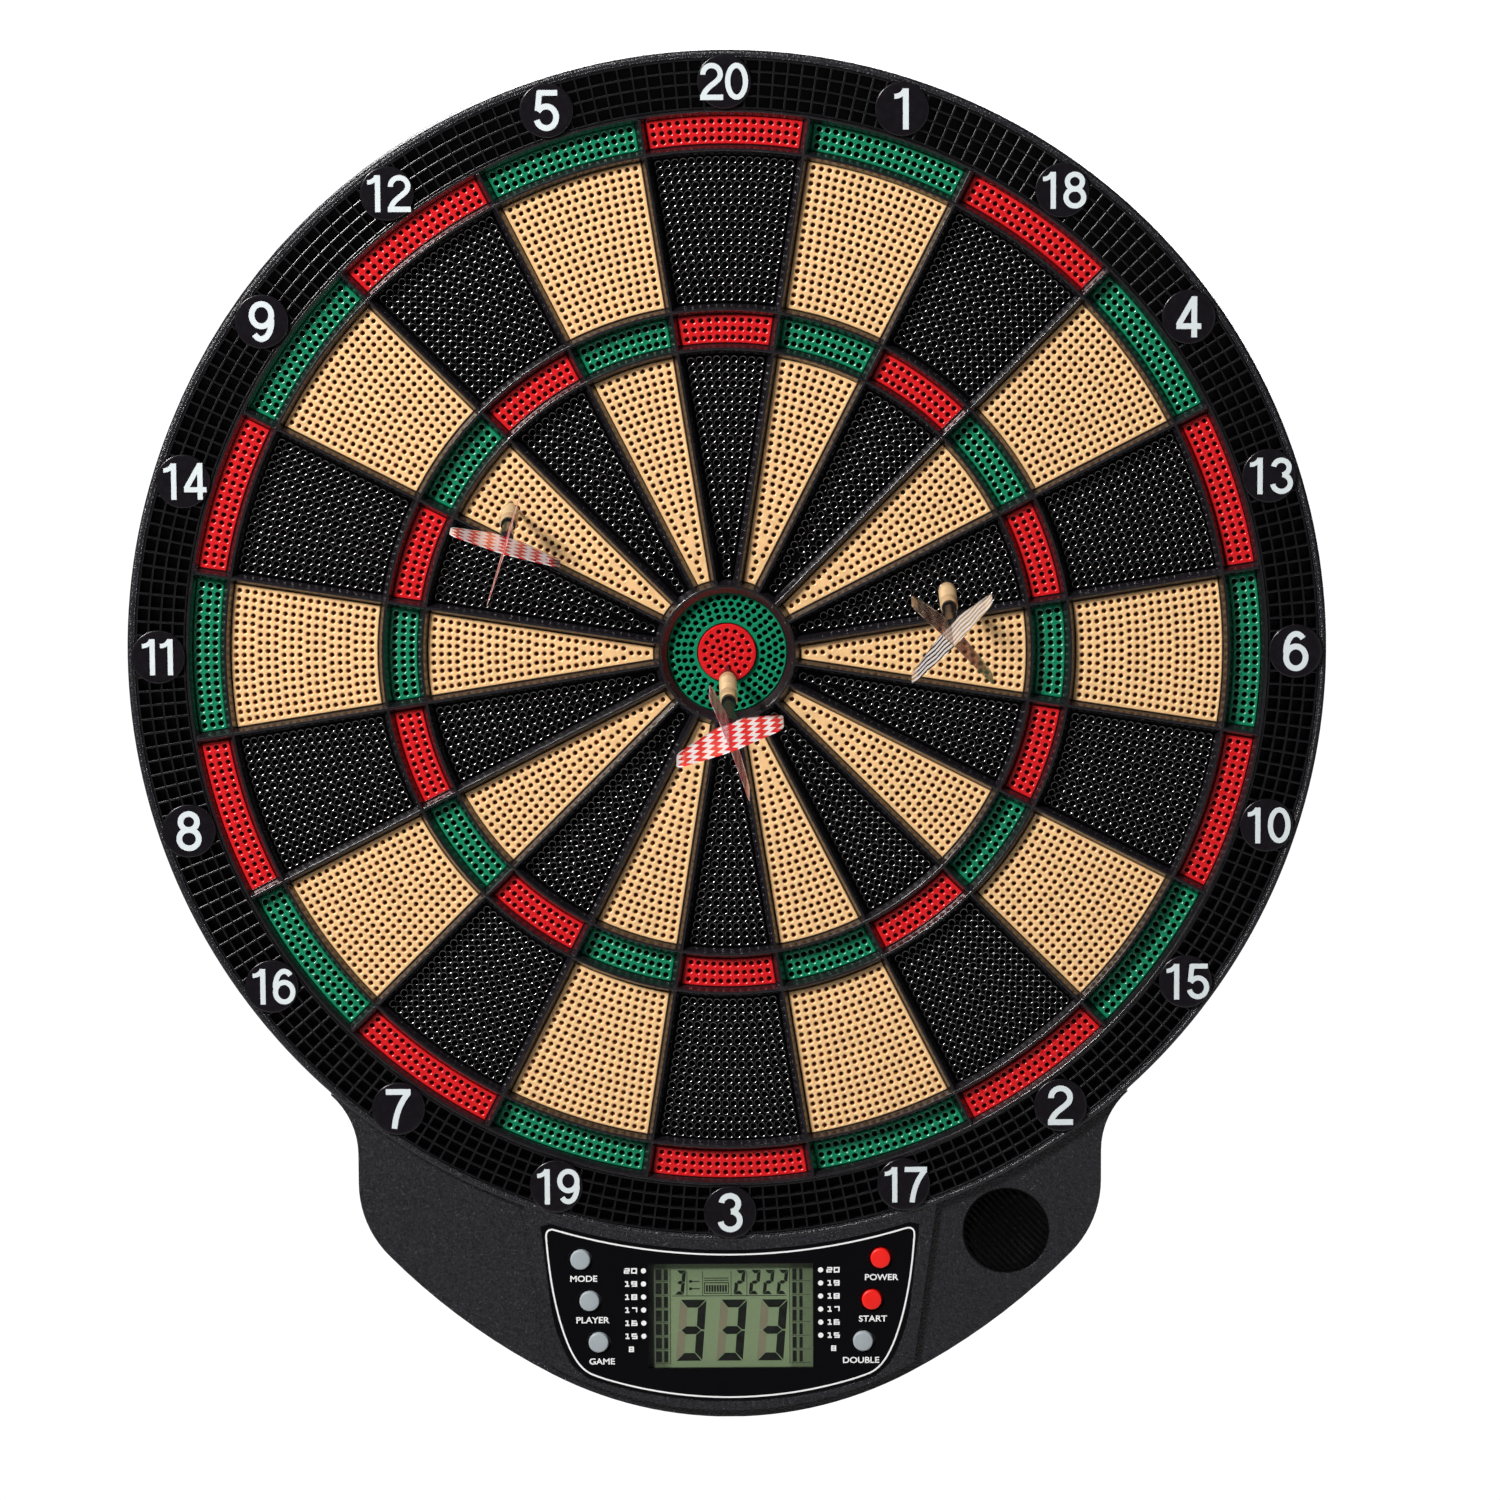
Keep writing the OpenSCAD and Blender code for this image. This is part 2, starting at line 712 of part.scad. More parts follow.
// Soft tip: a straight needle in the hole, then a bent neck and a spigot
module dart_tip(at, lean, tone) {
    color(tone) {
        on_wall() translate(at) disc(tip_r, face_z - tip_in, bend_z, 24);
        on_dart(at, lean) {
            sphere(r = tip_r + 0.1, $fn = 32);
            cylinder(r1 = tip_r, r2 = 1.1, h = tip_l - 5);
            translate([0, 0, tip_l - 5]) cylinder(r1 = 1.1, r2 = 2.4, h = 2);
            translate([0, 0, tip_l - 3]) cylinder(r = 2.4, h = 2.9);
            translate([0, 0, tip_l - 0.2]) cylinder(r = 1.6, h = spigot_l);
        }
    }
}

// Brass barrel: a turned grip with grooves, bored at both ends
module dart_barrel(at, lean) {
    grooves = 8;
    groove_pitch = 2.4;
    nose_r = 2.5;
    from = (barrel_l - grooves * groove_pitch) / 2;
    grip = [for (i = [0:grooves - 1], q = [[0, 0], [0.5, -0.35], [1.3, -0.35], [1.8, 0]])
        [barrel_r + q[1], from + groove_pitch * i + q[0]]];
    color("#b98a4a") on_dart(at, lean) translate([0, 0, tip_l]) difference() {
        rotate_extrude() polygon(concat(
            [[0, 0], [nose_r, 0], [barrel_r, 3]], grip,
            [[barrel_r, barrel_l - 2], [nose_r, barrel_l], [0, barrel_l]]));
        translate([0, 0, -eps]) cylinder(r = 1.65, h = spigot_l + 1);
        translate([0, 0, barrel_l - spigot_l - 1]) cylinder(r = 1.95, h = spigot_l + 2);
    }
}

// Plastic stem, split in four at the tail to grip the flight
module dart_stem(at, lean, turn) {
    slot_t = 0.5;
    color("#101010") on_dart(at, lean) translate([0, 0, tip_l + barrel_l]) difference() {
        union() {
            translate([0, 0, -spigot_l]) cylinder(r = 1.9, h = spigot_l + 0.2);
            translate([0, 0, 0.1]) cylinder(r = 2.6, h = 3);
            translate([0, 0, 3 - eps]) cylinder(r = 1.9, h = 21);
            translate([0, 0, 24 - 2 * eps]) cylinder(r = 2.4, h = stem_l - 24);
        }
        rotate(turn) for (a = [0, 90]) rotate(a)
            block([-5, -slot_t / 2, stem_l - 4], [5, slot_t / 2, stem_l + 1]);
    }
}

// Flight: two crossed sheets of film
module dart_flight(at, lean, turn) {
    film_t = 0.3;
    side = [[0, 0], [5, 0.6], [flight_span - 2, flight_l * 0.38], [flight_span, flight_l * 0.5],
        [flight_span, flight_l - 5], [flight_span - 2.5, flight_l - 1.5], [3, flight_l], [0, flight_l - 4]];
    color([0.9, 0.35, 0.35, 0.8]) on_dart(at, lean) translate([0, 0, flight_from])
        rotate(turn) for (a = [0, 90]) rotate(a)
            translate([0, film_t / 2, 0]) rotate([90, 0, 0]) linear_extrude(film_t)
                polygon(both_sides(side));
}

module dart_1_tip() dart_tip(dart_1_at, dart_1_lean, "black");
module dart_1_barrel() dart_barrel(dart_1_at, dart_1_lean);
module dart_1_stem() dart_stem(dart_1_at, dart_1_lean, dart_1_turn);
module dart_1_flight() dart_flight(dart_1_at, dart_1_lean, dart_1_turn);
module dart_2_tip() dart_tip(dart_2_at, dart_2_lean, "black");
module dart_2_barrel() dart_barrel(dart_2_at, dart_2_lean);
module dart_2_stem() dart_stem(dart_2_at, dart_2_lean, dart_2_turn);
module dart_2_flight() dart_flight(dart_2_at, dart_2_lean, dart_2_turn);
module dart_3_tip() dart_tip(dart_3_at, dart_3_lean, "black");
module dart_3_barrel() dart_barrel(dart_3_at, dart_3_lean);
module dart_3_stem() dart_stem(dart_3_at, dart_3_lean, dart_3_turn);
module dart_3_flight() dart_flight(dart_3_at, dart_3_lean, dart_3_turn);

front_housing();
catch_ring();
number_discs();
spider();
rear_cover();
battery_door();
faceplate();
window_lens();
lcd_panel();
circuit_board();
tact_switches();
foam_mat();
membrane_switch();
ribbon_cable();
speaker();
wire_harness();
batteries();
battery_contacts();
screws();
mode_button();
player_button();
game_button();
power_button();
start_button();
double_button();
inner_bull();
outer_bull();
number_segments(1);  // segments_01
number_segments(2, true);  // segments_02
number_segments(3, true);  // segments_03
number_segments(4);  // segments_04
number_segments(5);  // segments_05
number_segments(6);  // segments_06
number_segments(7, true);  // segments_07
number_segments(8, true);  // segments_08
number_segments(9);  // segments_09
number_segments(10, true);  // segments_10
number_segments(11);  // segments_11
number_segments(12, true);  // segments_12
number_segments(13, true);  // segments_13
number_segments(14, true);  // segments_14
number_segments(15);  // segments_15
number_segments(16);  // segments_16
number_segments(17);  // segments_17
number_segments(18, true);  // segments_18
number_segments(19);  // segments_19
number_segments(20, true);  // segments_20
dart_1_tip();
dart_1_barrel();
dart_1_stem();
dart_1_flight();
dart_2_tip();
dart_2_barrel();
dart_2_stem();
dart_2_flight();
dart_3_tip();
dart_3_barrel();
dart_3_stem();
dart_3_flight();
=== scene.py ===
"""Electronic dartboard: the looks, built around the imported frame.

Pieces are drawn in plan millimetres: right, up towards number 20, and out of the wall. on_wall() turns plan points
into the row frame, where +Z is up and the board faces -Y.
"""

import math

import bmesh
import bpy
from mathutils import Matrix, Vector
from mathutils.geometry import delaunay_2d_cdt


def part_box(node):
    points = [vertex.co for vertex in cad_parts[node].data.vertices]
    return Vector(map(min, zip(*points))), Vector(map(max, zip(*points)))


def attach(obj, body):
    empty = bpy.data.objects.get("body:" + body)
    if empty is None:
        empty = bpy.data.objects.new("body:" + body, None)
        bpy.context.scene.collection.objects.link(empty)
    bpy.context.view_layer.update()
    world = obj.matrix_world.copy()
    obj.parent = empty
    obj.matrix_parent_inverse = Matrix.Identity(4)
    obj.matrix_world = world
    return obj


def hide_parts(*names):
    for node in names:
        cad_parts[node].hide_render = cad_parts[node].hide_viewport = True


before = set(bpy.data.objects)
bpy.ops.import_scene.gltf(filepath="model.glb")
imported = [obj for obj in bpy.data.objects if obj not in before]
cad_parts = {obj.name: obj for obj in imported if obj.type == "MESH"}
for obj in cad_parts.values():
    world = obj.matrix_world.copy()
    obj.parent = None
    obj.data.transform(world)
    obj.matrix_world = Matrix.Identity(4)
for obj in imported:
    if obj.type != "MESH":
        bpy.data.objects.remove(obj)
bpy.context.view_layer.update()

MM = 0.001
FACETS = 96  # points of a plain circle
ORDER = [20, 1, 18, 4, 13, 6, 10, 15, 2, 17, 3, 19, 7, 16, 8, 11, 14, 9, 12, 5]
STEP = 2 * math.pi / len(ORDER)
HALF = STEP / 2
INK_T = 0.04  # thickness of printed ink
GRILLE = 15.4  # radius of the loudspeaker grille


# ---- geometry


def on_wall(point):
    """A plan point in millimetres as a point of the row frame in metres."""
    x, y, out = point
    return Vector((x, -out, y)) * MM


def polar(radius, angle):
    return radius * math.cos(angle), radius * math.sin(angle)


def circle(radius, turns=FACETS, shift=0.0, centre=(0, 0)):
    """Points of a circle, turned by a share of their pitch."""
    ring = [polar(radius, 2 * math.pi * (i + shift) / turns) for i in range(turns)]
    return [(centre[0] + x, centre[1] + y) for x, y in ring]


def front(node):
    """How far the front of a CAD node stands out of the wall, in millimetres."""
    return -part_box(node)[0].y / MM


def back(node):
    """How far the back of a CAD node stands out of the wall, in millimetres."""
    return -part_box(node)[1].y / MM


def plan_box(node):
    """Left, bottom, right and top of a CAD node in plan millimetres."""
    low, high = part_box(node)
    return low.x / MM, low.z / MM, high.x / MM, high.z / MM


def plan_centre(node):
    left, bottom, right, top = plan_box(node)
    return (left + right) / 2, (bottom + top) / 2


class Shell:
    """Points and faces of one mesh, gathered in plan millimetres."""

    def __init__(self):
        self.points, self.faces, self.smooth, self.paint = [], [], [], []

    def loop(self, points, out):
        """Adds a loop of points at one height and returns their numbers."""
        start = len(self.points)
        self.points += [(x, y, out) for x, y in points]
        return list(range(start, len(self.points)))

    def face(self, corners, smooth=False, paint=0):
        self.faces.append(list(corners))
        self.smooth.append(smooth)
        self.paint.append(paint)

    def band(self, low, high, smooth=False, closed=True, paint=0):
        """Quads between two loops. They face out if the loops run anticlockwise and high is the outer end."""
        n = len(low)
        for i in range(n if closed else n - 1):
            j = (i + 1) % n
            self.face((low[i], low[j], high[j], high[i]), smooth, paint)

    def bands(self, loops, smooth=False):
        """Bands from each loop to the next."""
        for a, b in zip(loops, loops[1:]):
            self.band(a, b, smooth)

    def slab(self, outline, low, high, paint=0):
        """A closed plate with an anticlockwise outline."""
        bottom, top = self.loop(outline, low), self.loop(outline, high)
        self.face(bottom[::-1], paint=paint)
        self.face(top, paint=paint)
        self.band(bottom, top, paint=paint)

    def lathe(self, centre, profile, turns=48, smooth=True):
        """A closed turned solid: profile runs from the axis at the back to the axis at the front."""
        rings = [self.loop(circle(radius, turns, 0.0, centre), out) for radius, out in profile[1:-1]]
        self.face(rings[0][::-1])
        self.bands(rings, smooth)
        self.face(rings[-1])

    def build(self, name, materials, place=on_wall):
        mesh = bpy.data.meshes.new(name)
        mesh.from_pydata([place(p) for p in self.points], [], self.faces)
        mesh.polygons.foreach_set("use_smooth", self.smooth)
        mesh.polygons.foreach_set("material_index", self.paint)
        for m in materials:
            mesh.materials.append(m)
        mesh.validate()
        mesh.update()
        return add_object(name, mesh)


def add_object(name, data):
    piece = bpy.data.objects.new(name, data)
    bpy.context.scene.collection.objects.link(piece)
    return piece


def settle(piece, body, slot, *stands_for):
    """Gives a finished piece its body and hides the CAD nodes that it stands for; slot is not used."""
    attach(piece, body)
    if stands_for:
        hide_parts(*stands_for)


def arc(centre, rx, ry, start, end, steps):
    """Points of an elliptic arc, with its angles in degrees."""
    turn = [math.radians(start + (end - start) * i / steps) for i in range(steps + 1)]
    return [(centre[0] + rx * math.cos(t), centre[1] + ry * math.sin(t)) for t in turn]


def bezier(a, b, c, d, steps=12):
    points = []
    for i in range(steps + 1):
        t = i / steps
        k = ((1 - t) ** 3, 3 * t * (1 - t) ** 2, 3 * t * t * (1 - t), t**3)
        points.append(tuple(k[0] * p + k[1] * q + k[2] * r + k[3] * s for p, q, r, s in zip(a, b, c, d)))
    return points


def ribbon(path, width):
    """Four-cornered pieces of a stroke along a path, anticlockwise, with mitred joins.

    A path that ends where it starts is closed.
    """
    closed = math.dist(path[0], path[-1]) < 1e-6
    path = path[:-1] if closed else path
    n = len(path)
    left, right = [], []
    for i in range(n):
        here = Vector(path[i])
        ways = []
        if closed or i > 0:
            ways.append((here - Vector(path[(i - 1) % n])).normalized())
        if closed or i < n - 1:
            ways.append((Vector(path[(i + 1) % n]) - here).normalized())
        ahead = sum(ways, Vector((0, 0))).normalized()
        side = Vector((-ahead.y, ahead.x)) * (width / 2 / max(0.5, ahead.dot(ways[0])))
        left.append(tuple(here + side))
        right.append(tuple(here - side))
    last = n if closed else n - 1
    return [(right[i], right[(i + 1) % n], left[(i + 1) % n], left[i]) for i in range(last)]


def flat_shape(shell, patches, low):
    """Everything that the overlapping patches cover, as one sheet of ink with clean edges."""
    points, faces = [], []
    for patch in patches:
        faces.append(list(range(len(points), len(points) + len(patch))))
        points += [Vector(p) for p in patch]
    places, _, parts, _, _, owners = delaunay_2d_cdt(points, [], faces, 1, 1e-4)
    bottom, top = shell.loop(places, low), shell.loop(places, low + INK_T)
    sides = set()
    for part, owner in zip(parts, owners):
        if not owner:
            continue
        shell.face([top[v] for v in part])
        shell.face([bottom[v] for v in reversed(part)])
        sides.update((u, v) for u, v in zip(part, part[1:] + part[:1]))
    for u, v in sides:
        if (v, u) not in sides:
            shell.face((bottom[u], bottom[v], top[v], top[u]))


# ---- materials


class Nodes:
    """A node tree being built, with its output node."""

    def __init__(self, tree, output):
        self.tree = tree
        self.tree.nodes.clear()
        self.output = self.add(output)

    def feed(self, value, socket):
        """Gives a socket a value, which may be another node's output."""
        if hasattr(value, "is_output"):
            self.tree.links.new(value, socket)
        else:
            socket.default_value = value

    def add(self, kind, **values):
        """A new node with its settings and its inputs, whose names have spaces for underscores."""
        node = self.tree.nodes.new(kind)
        for key, value in values.items():
            if hasattr(node, key):
                setattr(node, key, value)
            else:
                self.feed(value, node.inputs[key.replace("_", " ")])
        return node

    def blend(self, share, first, second):
        """Shows a mix of two shaders, with this share of the second."""
        mixed = self.add("ShaderNodeMixShader", Fac=share)
        self.feed(first.outputs[0], mixed.inputs[1])
        self.feed(second.outputs[0], mixed.inputs[2])
        self.feed(mixed.outputs[0], self.output.inputs["Surface"])


class Paint(Nodes):
    """A material being built around one Principled shader."""

    def __init__(self, name, colour, roughness, metallic=0.0):
        self.material = bpy.data.materials.new(name)
        self.material.use_nodes = True
        super().__init__(self.material.node_tree, "ShaderNodeOutputMaterial")
        self.colour = colour
        self.shader = self.add("ShaderNodeBsdfPrincipled")
        self.feed(self.shader.outputs[0], self.output.inputs["Surface"])
        self.set("Base Color", (*colour, 1))
        self.set("Roughness", roughness)
        self.set("Metallic", metallic)
        self.place = self.add("ShaderNodeTexCoord").outputs["Object"]

    def set(self, name, value):
        self.feed(value, self.shader.inputs[name])

    def noise(self, size, detail, stretch=None):
        """Noise whose features are about size millimetres across."""
        place = self.place
        if stretch:
            place = self.add("ShaderNodeMapping", Scale=stretch, Vector=place).outputs["Vector"]
        return self.add("ShaderNodeTexNoise", Scale=1 / (size * MM), Detail=detail, Vector=place).outputs["Fac"]

    def cells(self, size):
        """Distance within soft cells of about size millimetres."""
        node = self.add("ShaderNodeTexVoronoi", feature="SMOOTH_F1", Scale=1 / (size * MM), Vector=self.place)
        return node.outputs["Distance"]

    def spread(self, source, low, high, start=0.3, end=0.7):
        """Carries a value from start..end over to low..high."""
        node = self.add("ShaderNodeMapRange", From_Min=start, From_Max=end, To_Min=low, To_Max=high, Value=source)
        return node.outputs["Result"]

    def maths(self, operation, a, b=None):
        node = self.add("ShaderNodeMath", operation=operation)
        self.feed(a, node.inputs[0])
        if b is not None:
            self.feed(b, node.inputs[1])
        return node.outputs[0]

    def mix(self, share, a, b):
        """Mixes two colours, each a socket or three numbers."""
        node = self.add("ShaderNodeMix", data_type="RGBA")
        sockets = [s for s in node.inputs if s.enabled]
        for value, socket in zip((share, a, b), sockets):
            self.feed((*value, 1) if isinstance(value, tuple) else value, socket)
        return [s for s in node.outputs if s.enabled][0]

    def tone(self, source, amount):
        """Makes the base colour lighter and darker by a share as source goes from 0.3 to 0.7."""
        dark = tuple(c * (1 - amount) for c in self.colour)
        light = tuple(min(1, c * (1 + amount)) for c in self.colour)
        self.set("Base Color", self.mix(self.spread(source, 0, 1), dark, light))

    def bump(self, height, depth, rounded=0.0):
        """Bump from a 0..1 height, depth millimetres deep, over edges rounded by a radius."""
        node = self.add("ShaderNodeBump", Strength=1.0, Distance=depth * MM, Height=height)
        if rounded:
            edge = self.add("ShaderNodeBevel", samples=4, Radius=rounded * MM)
            self.feed(edge.outputs["Normal"], node.inputs["Normal"])
        self.set("Normal", node.outputs["Normal"])

    def axis(self, name, source=None):
        """One of the parts X, Y and Z of a vector, which is the place in metres if none is given."""
        node = self.add("ShaderNodeSeparateXYZ")
        self.feed(source or self.place, node.inputs[0])
        return node.outputs[name]

    def facing(self):
        """How squarely the surface faces the front of the board, 1 for flat faces."""
        normal = self.add("ShaderNodeNewGeometry").outputs["Normal"]
        return self.maths("MULTIPLY", self.axis("Y", normal), -1.0)


def moulded(name, colour, roughness, mottle=0.12, grain=0.35, depth=0.01, rounded=0.0, shine=0.5):
    """Moulded plastic: a faint flow pattern, a fine texture and slightly uneven gloss."""
    p = Paint(name, colour, roughness)
    p.tone(p.noise(9, 3), mottle)
    p.set("Roughness", p.spread(p.noise(2.5, 4), roughness * 0.85, roughness * 1.2))
    p.bump(p.noise(grain, 3), depth, rounded)
    p.set("Specular IOR Level", shine)
    return p.material


def leather_plastic(name, colour):
    """Housing plastic with a leather grain that glitters where it catches the light; the grille is dull, with painted
    shade that makes it near black.
    """
    p = Paint(name, colour, 0.3)
    wrinkles, pores = p.cells(0.75), p.noise(0.4, 3)
    p.bump(p.maths("ADD", p.maths("MULTIPLY", wrinkles, 0.7), p.maths("MULTIPLY", pores, 0.8)), 0.28, 0.25)
    x, y = plan_centre("speaker")
    aside = p.maths("SUBTRACT", p.axis("X"), x * MM)
    above = p.maths("SUBTRACT", p.axis("Z"), y * MM)
    away = p.maths("SQRT", p.maths("ADD", p.maths("MULTIPLY", aside, aside), p.maths("MULTIPLY", above, above)))
    fade = 0.4
    open_face = p.spread(away, 0.0, 1.0, GRILLE * MM, (GRILLE + fade) * MM)
    grain = p.mix(p.spread(p.noise(0.9, 3), 0, 1), tuple(c * 0.3 for c in colour), tuple(c * 1.8 for c in colour))
    # Painted shade: the grille's louvres are painted near black, standing in for the shade in its slots
    p.set("Base Color", p.mix(open_face, (0.0008, 0.0007, 0.0009), grain))
    p.set("Specular IOR Level", p.spread(open_face, 0.08, 0.55, 0.0, 1.0))
    p.set("Roughness", p.spread(p.noise(1.1, 3), 0.2, 0.34))
    return p.material


def metal(name, colour, roughness, stretch=(1, 1, 1), size=0.4, metallic=1.0):
    """Turned or rolled metal with fine tool marks."""
    p = Paint(name, colour, roughness, metallic)
    marks = p.noise(size, 3, stretch)
    p.set("Roughness", p.spread(marks, roughness * 0.7, roughness * 1.4))
    p.tone(p.noise(4, 3), 0.12)
    p.bump(marks, 0.004)
    return p.material


def clear(name, tint, cover):
    """Clear film or window: see-through, with a mirror-like skin and a share of it clouded."""
    p = Paint(name, tint, 0.04)
    through = p.add("ShaderNodeBsdfTransparent", Color=(*tint, 1))
    # No mirror on the way out, where total reflection would keep slanting light from what lies behind
    outside = p.maths("SUBTRACT", 1.0, p.add("ShaderNodeNewGeometry").outputs["Backfacing"])
    skin = p.maths("MULTIPLY", p.add("ShaderNodeFresnel", IOR=1.45).outputs[0], outside)
    haze = p.spread(p.noise(3, 4, (1, 1, 6)), cover * 0.7, cover * 1.3)
    p.blend(p.maths("MAXIMUM", skin, haze), through, p.shader)
    p.set("Base Color", (0.02, 0.02, 0.02, 1))
    return p.material


def display_glass(name, colour):
    """Reflective display: a fine grain, darker behind the marker columns, with painted shade under its upper edge."""
    p = Paint(name, colour, 0.4)
    grain = p.spread(p.noise(0.35, 2), 0.86, 1.1)
    top = plan_box("lcd_panel")[3]
    at_left = p.spread(p.axis("X"), 0.5, 1.0, -24 * MM, -21 * MM)
    at_right = p.spread(p.axis("X"), 1.0, 0.6, 21 * MM, 22.5 * MM)
    # Painted shade: the display is darker under the window's upper edge
    under = p.spread(p.axis("Z"), 1.0, 0.7, (top - 14) * MM, (top - 1) * MM)
    light = p.maths("MULTIPLY", grain, p.maths("MULTIPLY", p.maths("MULTIPLY", at_left, at_right), under))
    p.set("Base Color", p.mix(light, (0, 0, 0), colour))
    return p.material


def segment_plastic(name, colour, deep, roughness, polish=0.0):
    """Glossy polypropylene that glows a little where it is thin, with faint scuffs from darts.

    polish is how strongly its slopes, such as the mouths of the holes, catch the light.
    """
    p = Paint(name, colour, roughness)
    p.tone(p.noise(5, 3), 0.07)
    p.set("Roughness", p.spread(p.noise(1.4, 4), roughness * 0.8, roughness * 1.3))
    p.bump(p.noise(0.5, 2), 0.006)
    if polish:
        slopes = p.maths("MULTIPLY", p.spread(p.facing(), 0.0, 1.0, 0.7, 0.82),
                         p.spread(p.facing(), 1.0, 0.0, 0.95, 0.995))
        p.set("Coat Weight", p.maths("MULTIPLY", slopes, polish))
        p.set("Coat Roughness", 0.27)
        p.set("Coat IOR", 2.1)
        p.set("Specular IOR Level", p.spread(slopes, 0.1, 0.8, 0.0, 1.0))
    if max(deep):
        p.set("Subsurface Weight", 0.25)
        p.set("Subsurface Radius", deep)
        p.set("Subsurface Scale", 0.8 * MM)
    return p.material


CREAM = segment_plastic("segment_cream", (0.80, 0.51, 0.25), (1.0, 0.6, 0.3), 0.32)
BLACK = segment_plastic("segment_black", (0.0012, 0.0012, 0.0016), (0, 0, 0), 0.2, 1.0)
RED = segment_plastic("segment_red", (0.62, 0.009, 0.013), (1.0, 0.1, 0.05), 0.26)
GREEN = segment_plastic("segment_green", (0.006, 0.205, 0.10), (0.1, 1.0, 0.4), 0.3, 0.5)
RIB = moulded("spider", (0.007, 0.0055, 0.0075), 0.24, 0.15, 0.6, 0.006, 0.4, shine=1.0)
GRID = moulded("catch_ring", (0.0035, 0.003, 0.004), 0.27, 0.1, 0.5, 0.006, shine=0.6)
DISC = moulded("disc", (0.005, 0.0035, 0.006), 0.25, 0.12, 0.4, 0.004)
NUMERAL = moulded("numeral", (0.63, 0.69, 0.715), 0.5, 0.03, 0.3, 0.002)
HOUSING = leather_plastic("housing", (0.0085, 0.008, 0.0115))
REAR = moulded("rear_cover", (0.012, 0.0115, 0.013), 0.45, 0.15, 0.5, 0.03, 0.3)
PANEL = moulded("panel", (0.0018, 0.0015, 0.0022), 0.09, 0.1, 3.0, 0.002, 0.2)
PRINT = moulded("panel_print", (0.82, 0.83, 0.84), 0.5, 0.03, 0.3, 0.002)
LCD = display_glass("lcd", (0.225, 0.295, 0.17))
LCD_INK = moulded("lcd_ink", (0.006, 0.007, 0.006), 0.4, 0.05, 0.4, 0.001)
LCD_GHOST = moulded("lcd_ghost", (0.22, 0.20, 0.135), 0.45, 0.05, 0.4, 0.001)
WINDOW = clear("window", (0.96, 0.97, 0.96), 0.02)
BUTTON_GREY = moulded("button_grey", (0.33, 0.37, 0.40), 0.4, 0.05, 0.3, 0.006)
BUTTON_RED = moulded("button_red", (0.82, 0.012, 0.008), 0.36, 0.05, 0.3, 0.006)
BOARD = moulded("circuit_board", (0.012, 0.10, 0.04), 0.3, 0.25, 1.5, 0.01)
SWITCH = moulded("switch", (0.03, 0.03, 0.032), 0.45)
FOAM = moulded("foam", (0.03, 0.03, 0.033), 0.95, 0.2, 0.5, 0.15)
MEMBRANE = moulded("membrane", (0.42, 0.33, 0.10), 0.25, 0.1, 4.0, 0.01)
RIBBON = moulded("ribbon", (0.5, 0.46, 0.35), 0.5, 0.1, 1.0, 0.02)
SPEAKER = moulded("speaker", (0.002, 0.002, 0.0022), 0.8, 0.2, 0.4, 0.03, shine=0.1)
WIRE = moulded("wire", (0.45, 0.02, 0.015), 0.4)
BATTERY = moulded("battery", (0.45, 0.27, 0.04), 0.3, 0.1, 1.0, 0.01)
STEEL = metal("screw", (0.55, 0.55, 0.57), 0.3)
CONTACT = metal("contact", (0.62, 0.60, 0.56), 0.25)
TIP = moulded("dart_tip", (0.015, 0.014, 0.015), 0.3)
STEM = moulded("dart_stem", (0.008, 0.008, 0.009), 0.22, 0.1, 0.5, 0.004)
BRASS = metal("dart_brass", (0.92, 0.66, 0.38), 0.42, (1, 8, 1), 0.5, 0.6)


# ---- target segments

SEGMENT_FACE = front("segments_20")
SEGMENT_LEG = back("segments_20")
CHORD = 14  # millimetres of radius for each straight piece of a segment's curved sides
HOLE_EDGE = 2.1  # centre of an outer hole to the straight side of a segment
HOLE_PITCH = 2.75  # the least that rows of an inner single have
HOLE_TURNS = 12
EDGE = 0.22  # chamfer around the face of a segment
FLANGE_BACK, FLANGE_FRONT, FLANGE_OVER = 17.7, 19.3, 1.1  # heights of a segment's flange and its overhang
KINDS = ("inner_single", "treble", "outer_single", "double")


def segment_rings():
    """Inner and outer radius of a number's segments, the gap beside them and the height of the lower faces."""
    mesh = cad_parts["segments_20"].data
    face = [v.co / MM for v in mesh.vertices if -v.co.y / MM > FLANGE_FRONT + 1]
    radii = sorted({round(math.hypot(p.x, p.z), 1) for p in face})
    rim = max(face, key=lambda p: abs(p.x))
    side = math.hypot(rim.x, rim.z) * math.sin(HALF - math.atan2(abs(rim.x), rim.z))
    return list(zip(radii[::2], radii[1::2])), side, min(-p.y for p in face)


(INNER, TREBLE, OUTER, DOUBLE), SIDE, LOW_FACE = segment_rings()


def sector(r_in, r_out, inset):
    """Outline of a segment at the top of the board, anticlockwise, drawn in by a distance."""
    steps = max(3, int(r_out / CHORD))
    points = []
    for radius, way in ((r_in + inset, 1), (r_out - inset, -1)):
        reach = HALF - math.asin((SIDE + inset) / radius)
        points += [polar(radius, math.pi / 2 + way * reach * (1 - 2 * i / steps)) for i in range(steps + 1)]
    return points


def hole_rows(r_first, r_last, rows, count):
    """Dart holes in rows of one radius, spread evenly between the straight sides.

    count gives how many from the row's number, its radius and its reach in radians.
    """
    holes = []
    for k in range(rows):
        radius = r_first + (r_last - r_first) * k / (rows - 1)
        reach = HALF - math.asin((SIDE + HOLE_EDGE) / radius)
        n = count(k, radius, reach)
        for i in range(n):
            a = math.pi / 2 + reach * (2 * i / (n - 1) - 1 if n > 1 else 0)
            holes.append(polar(radius, a))
    return holes


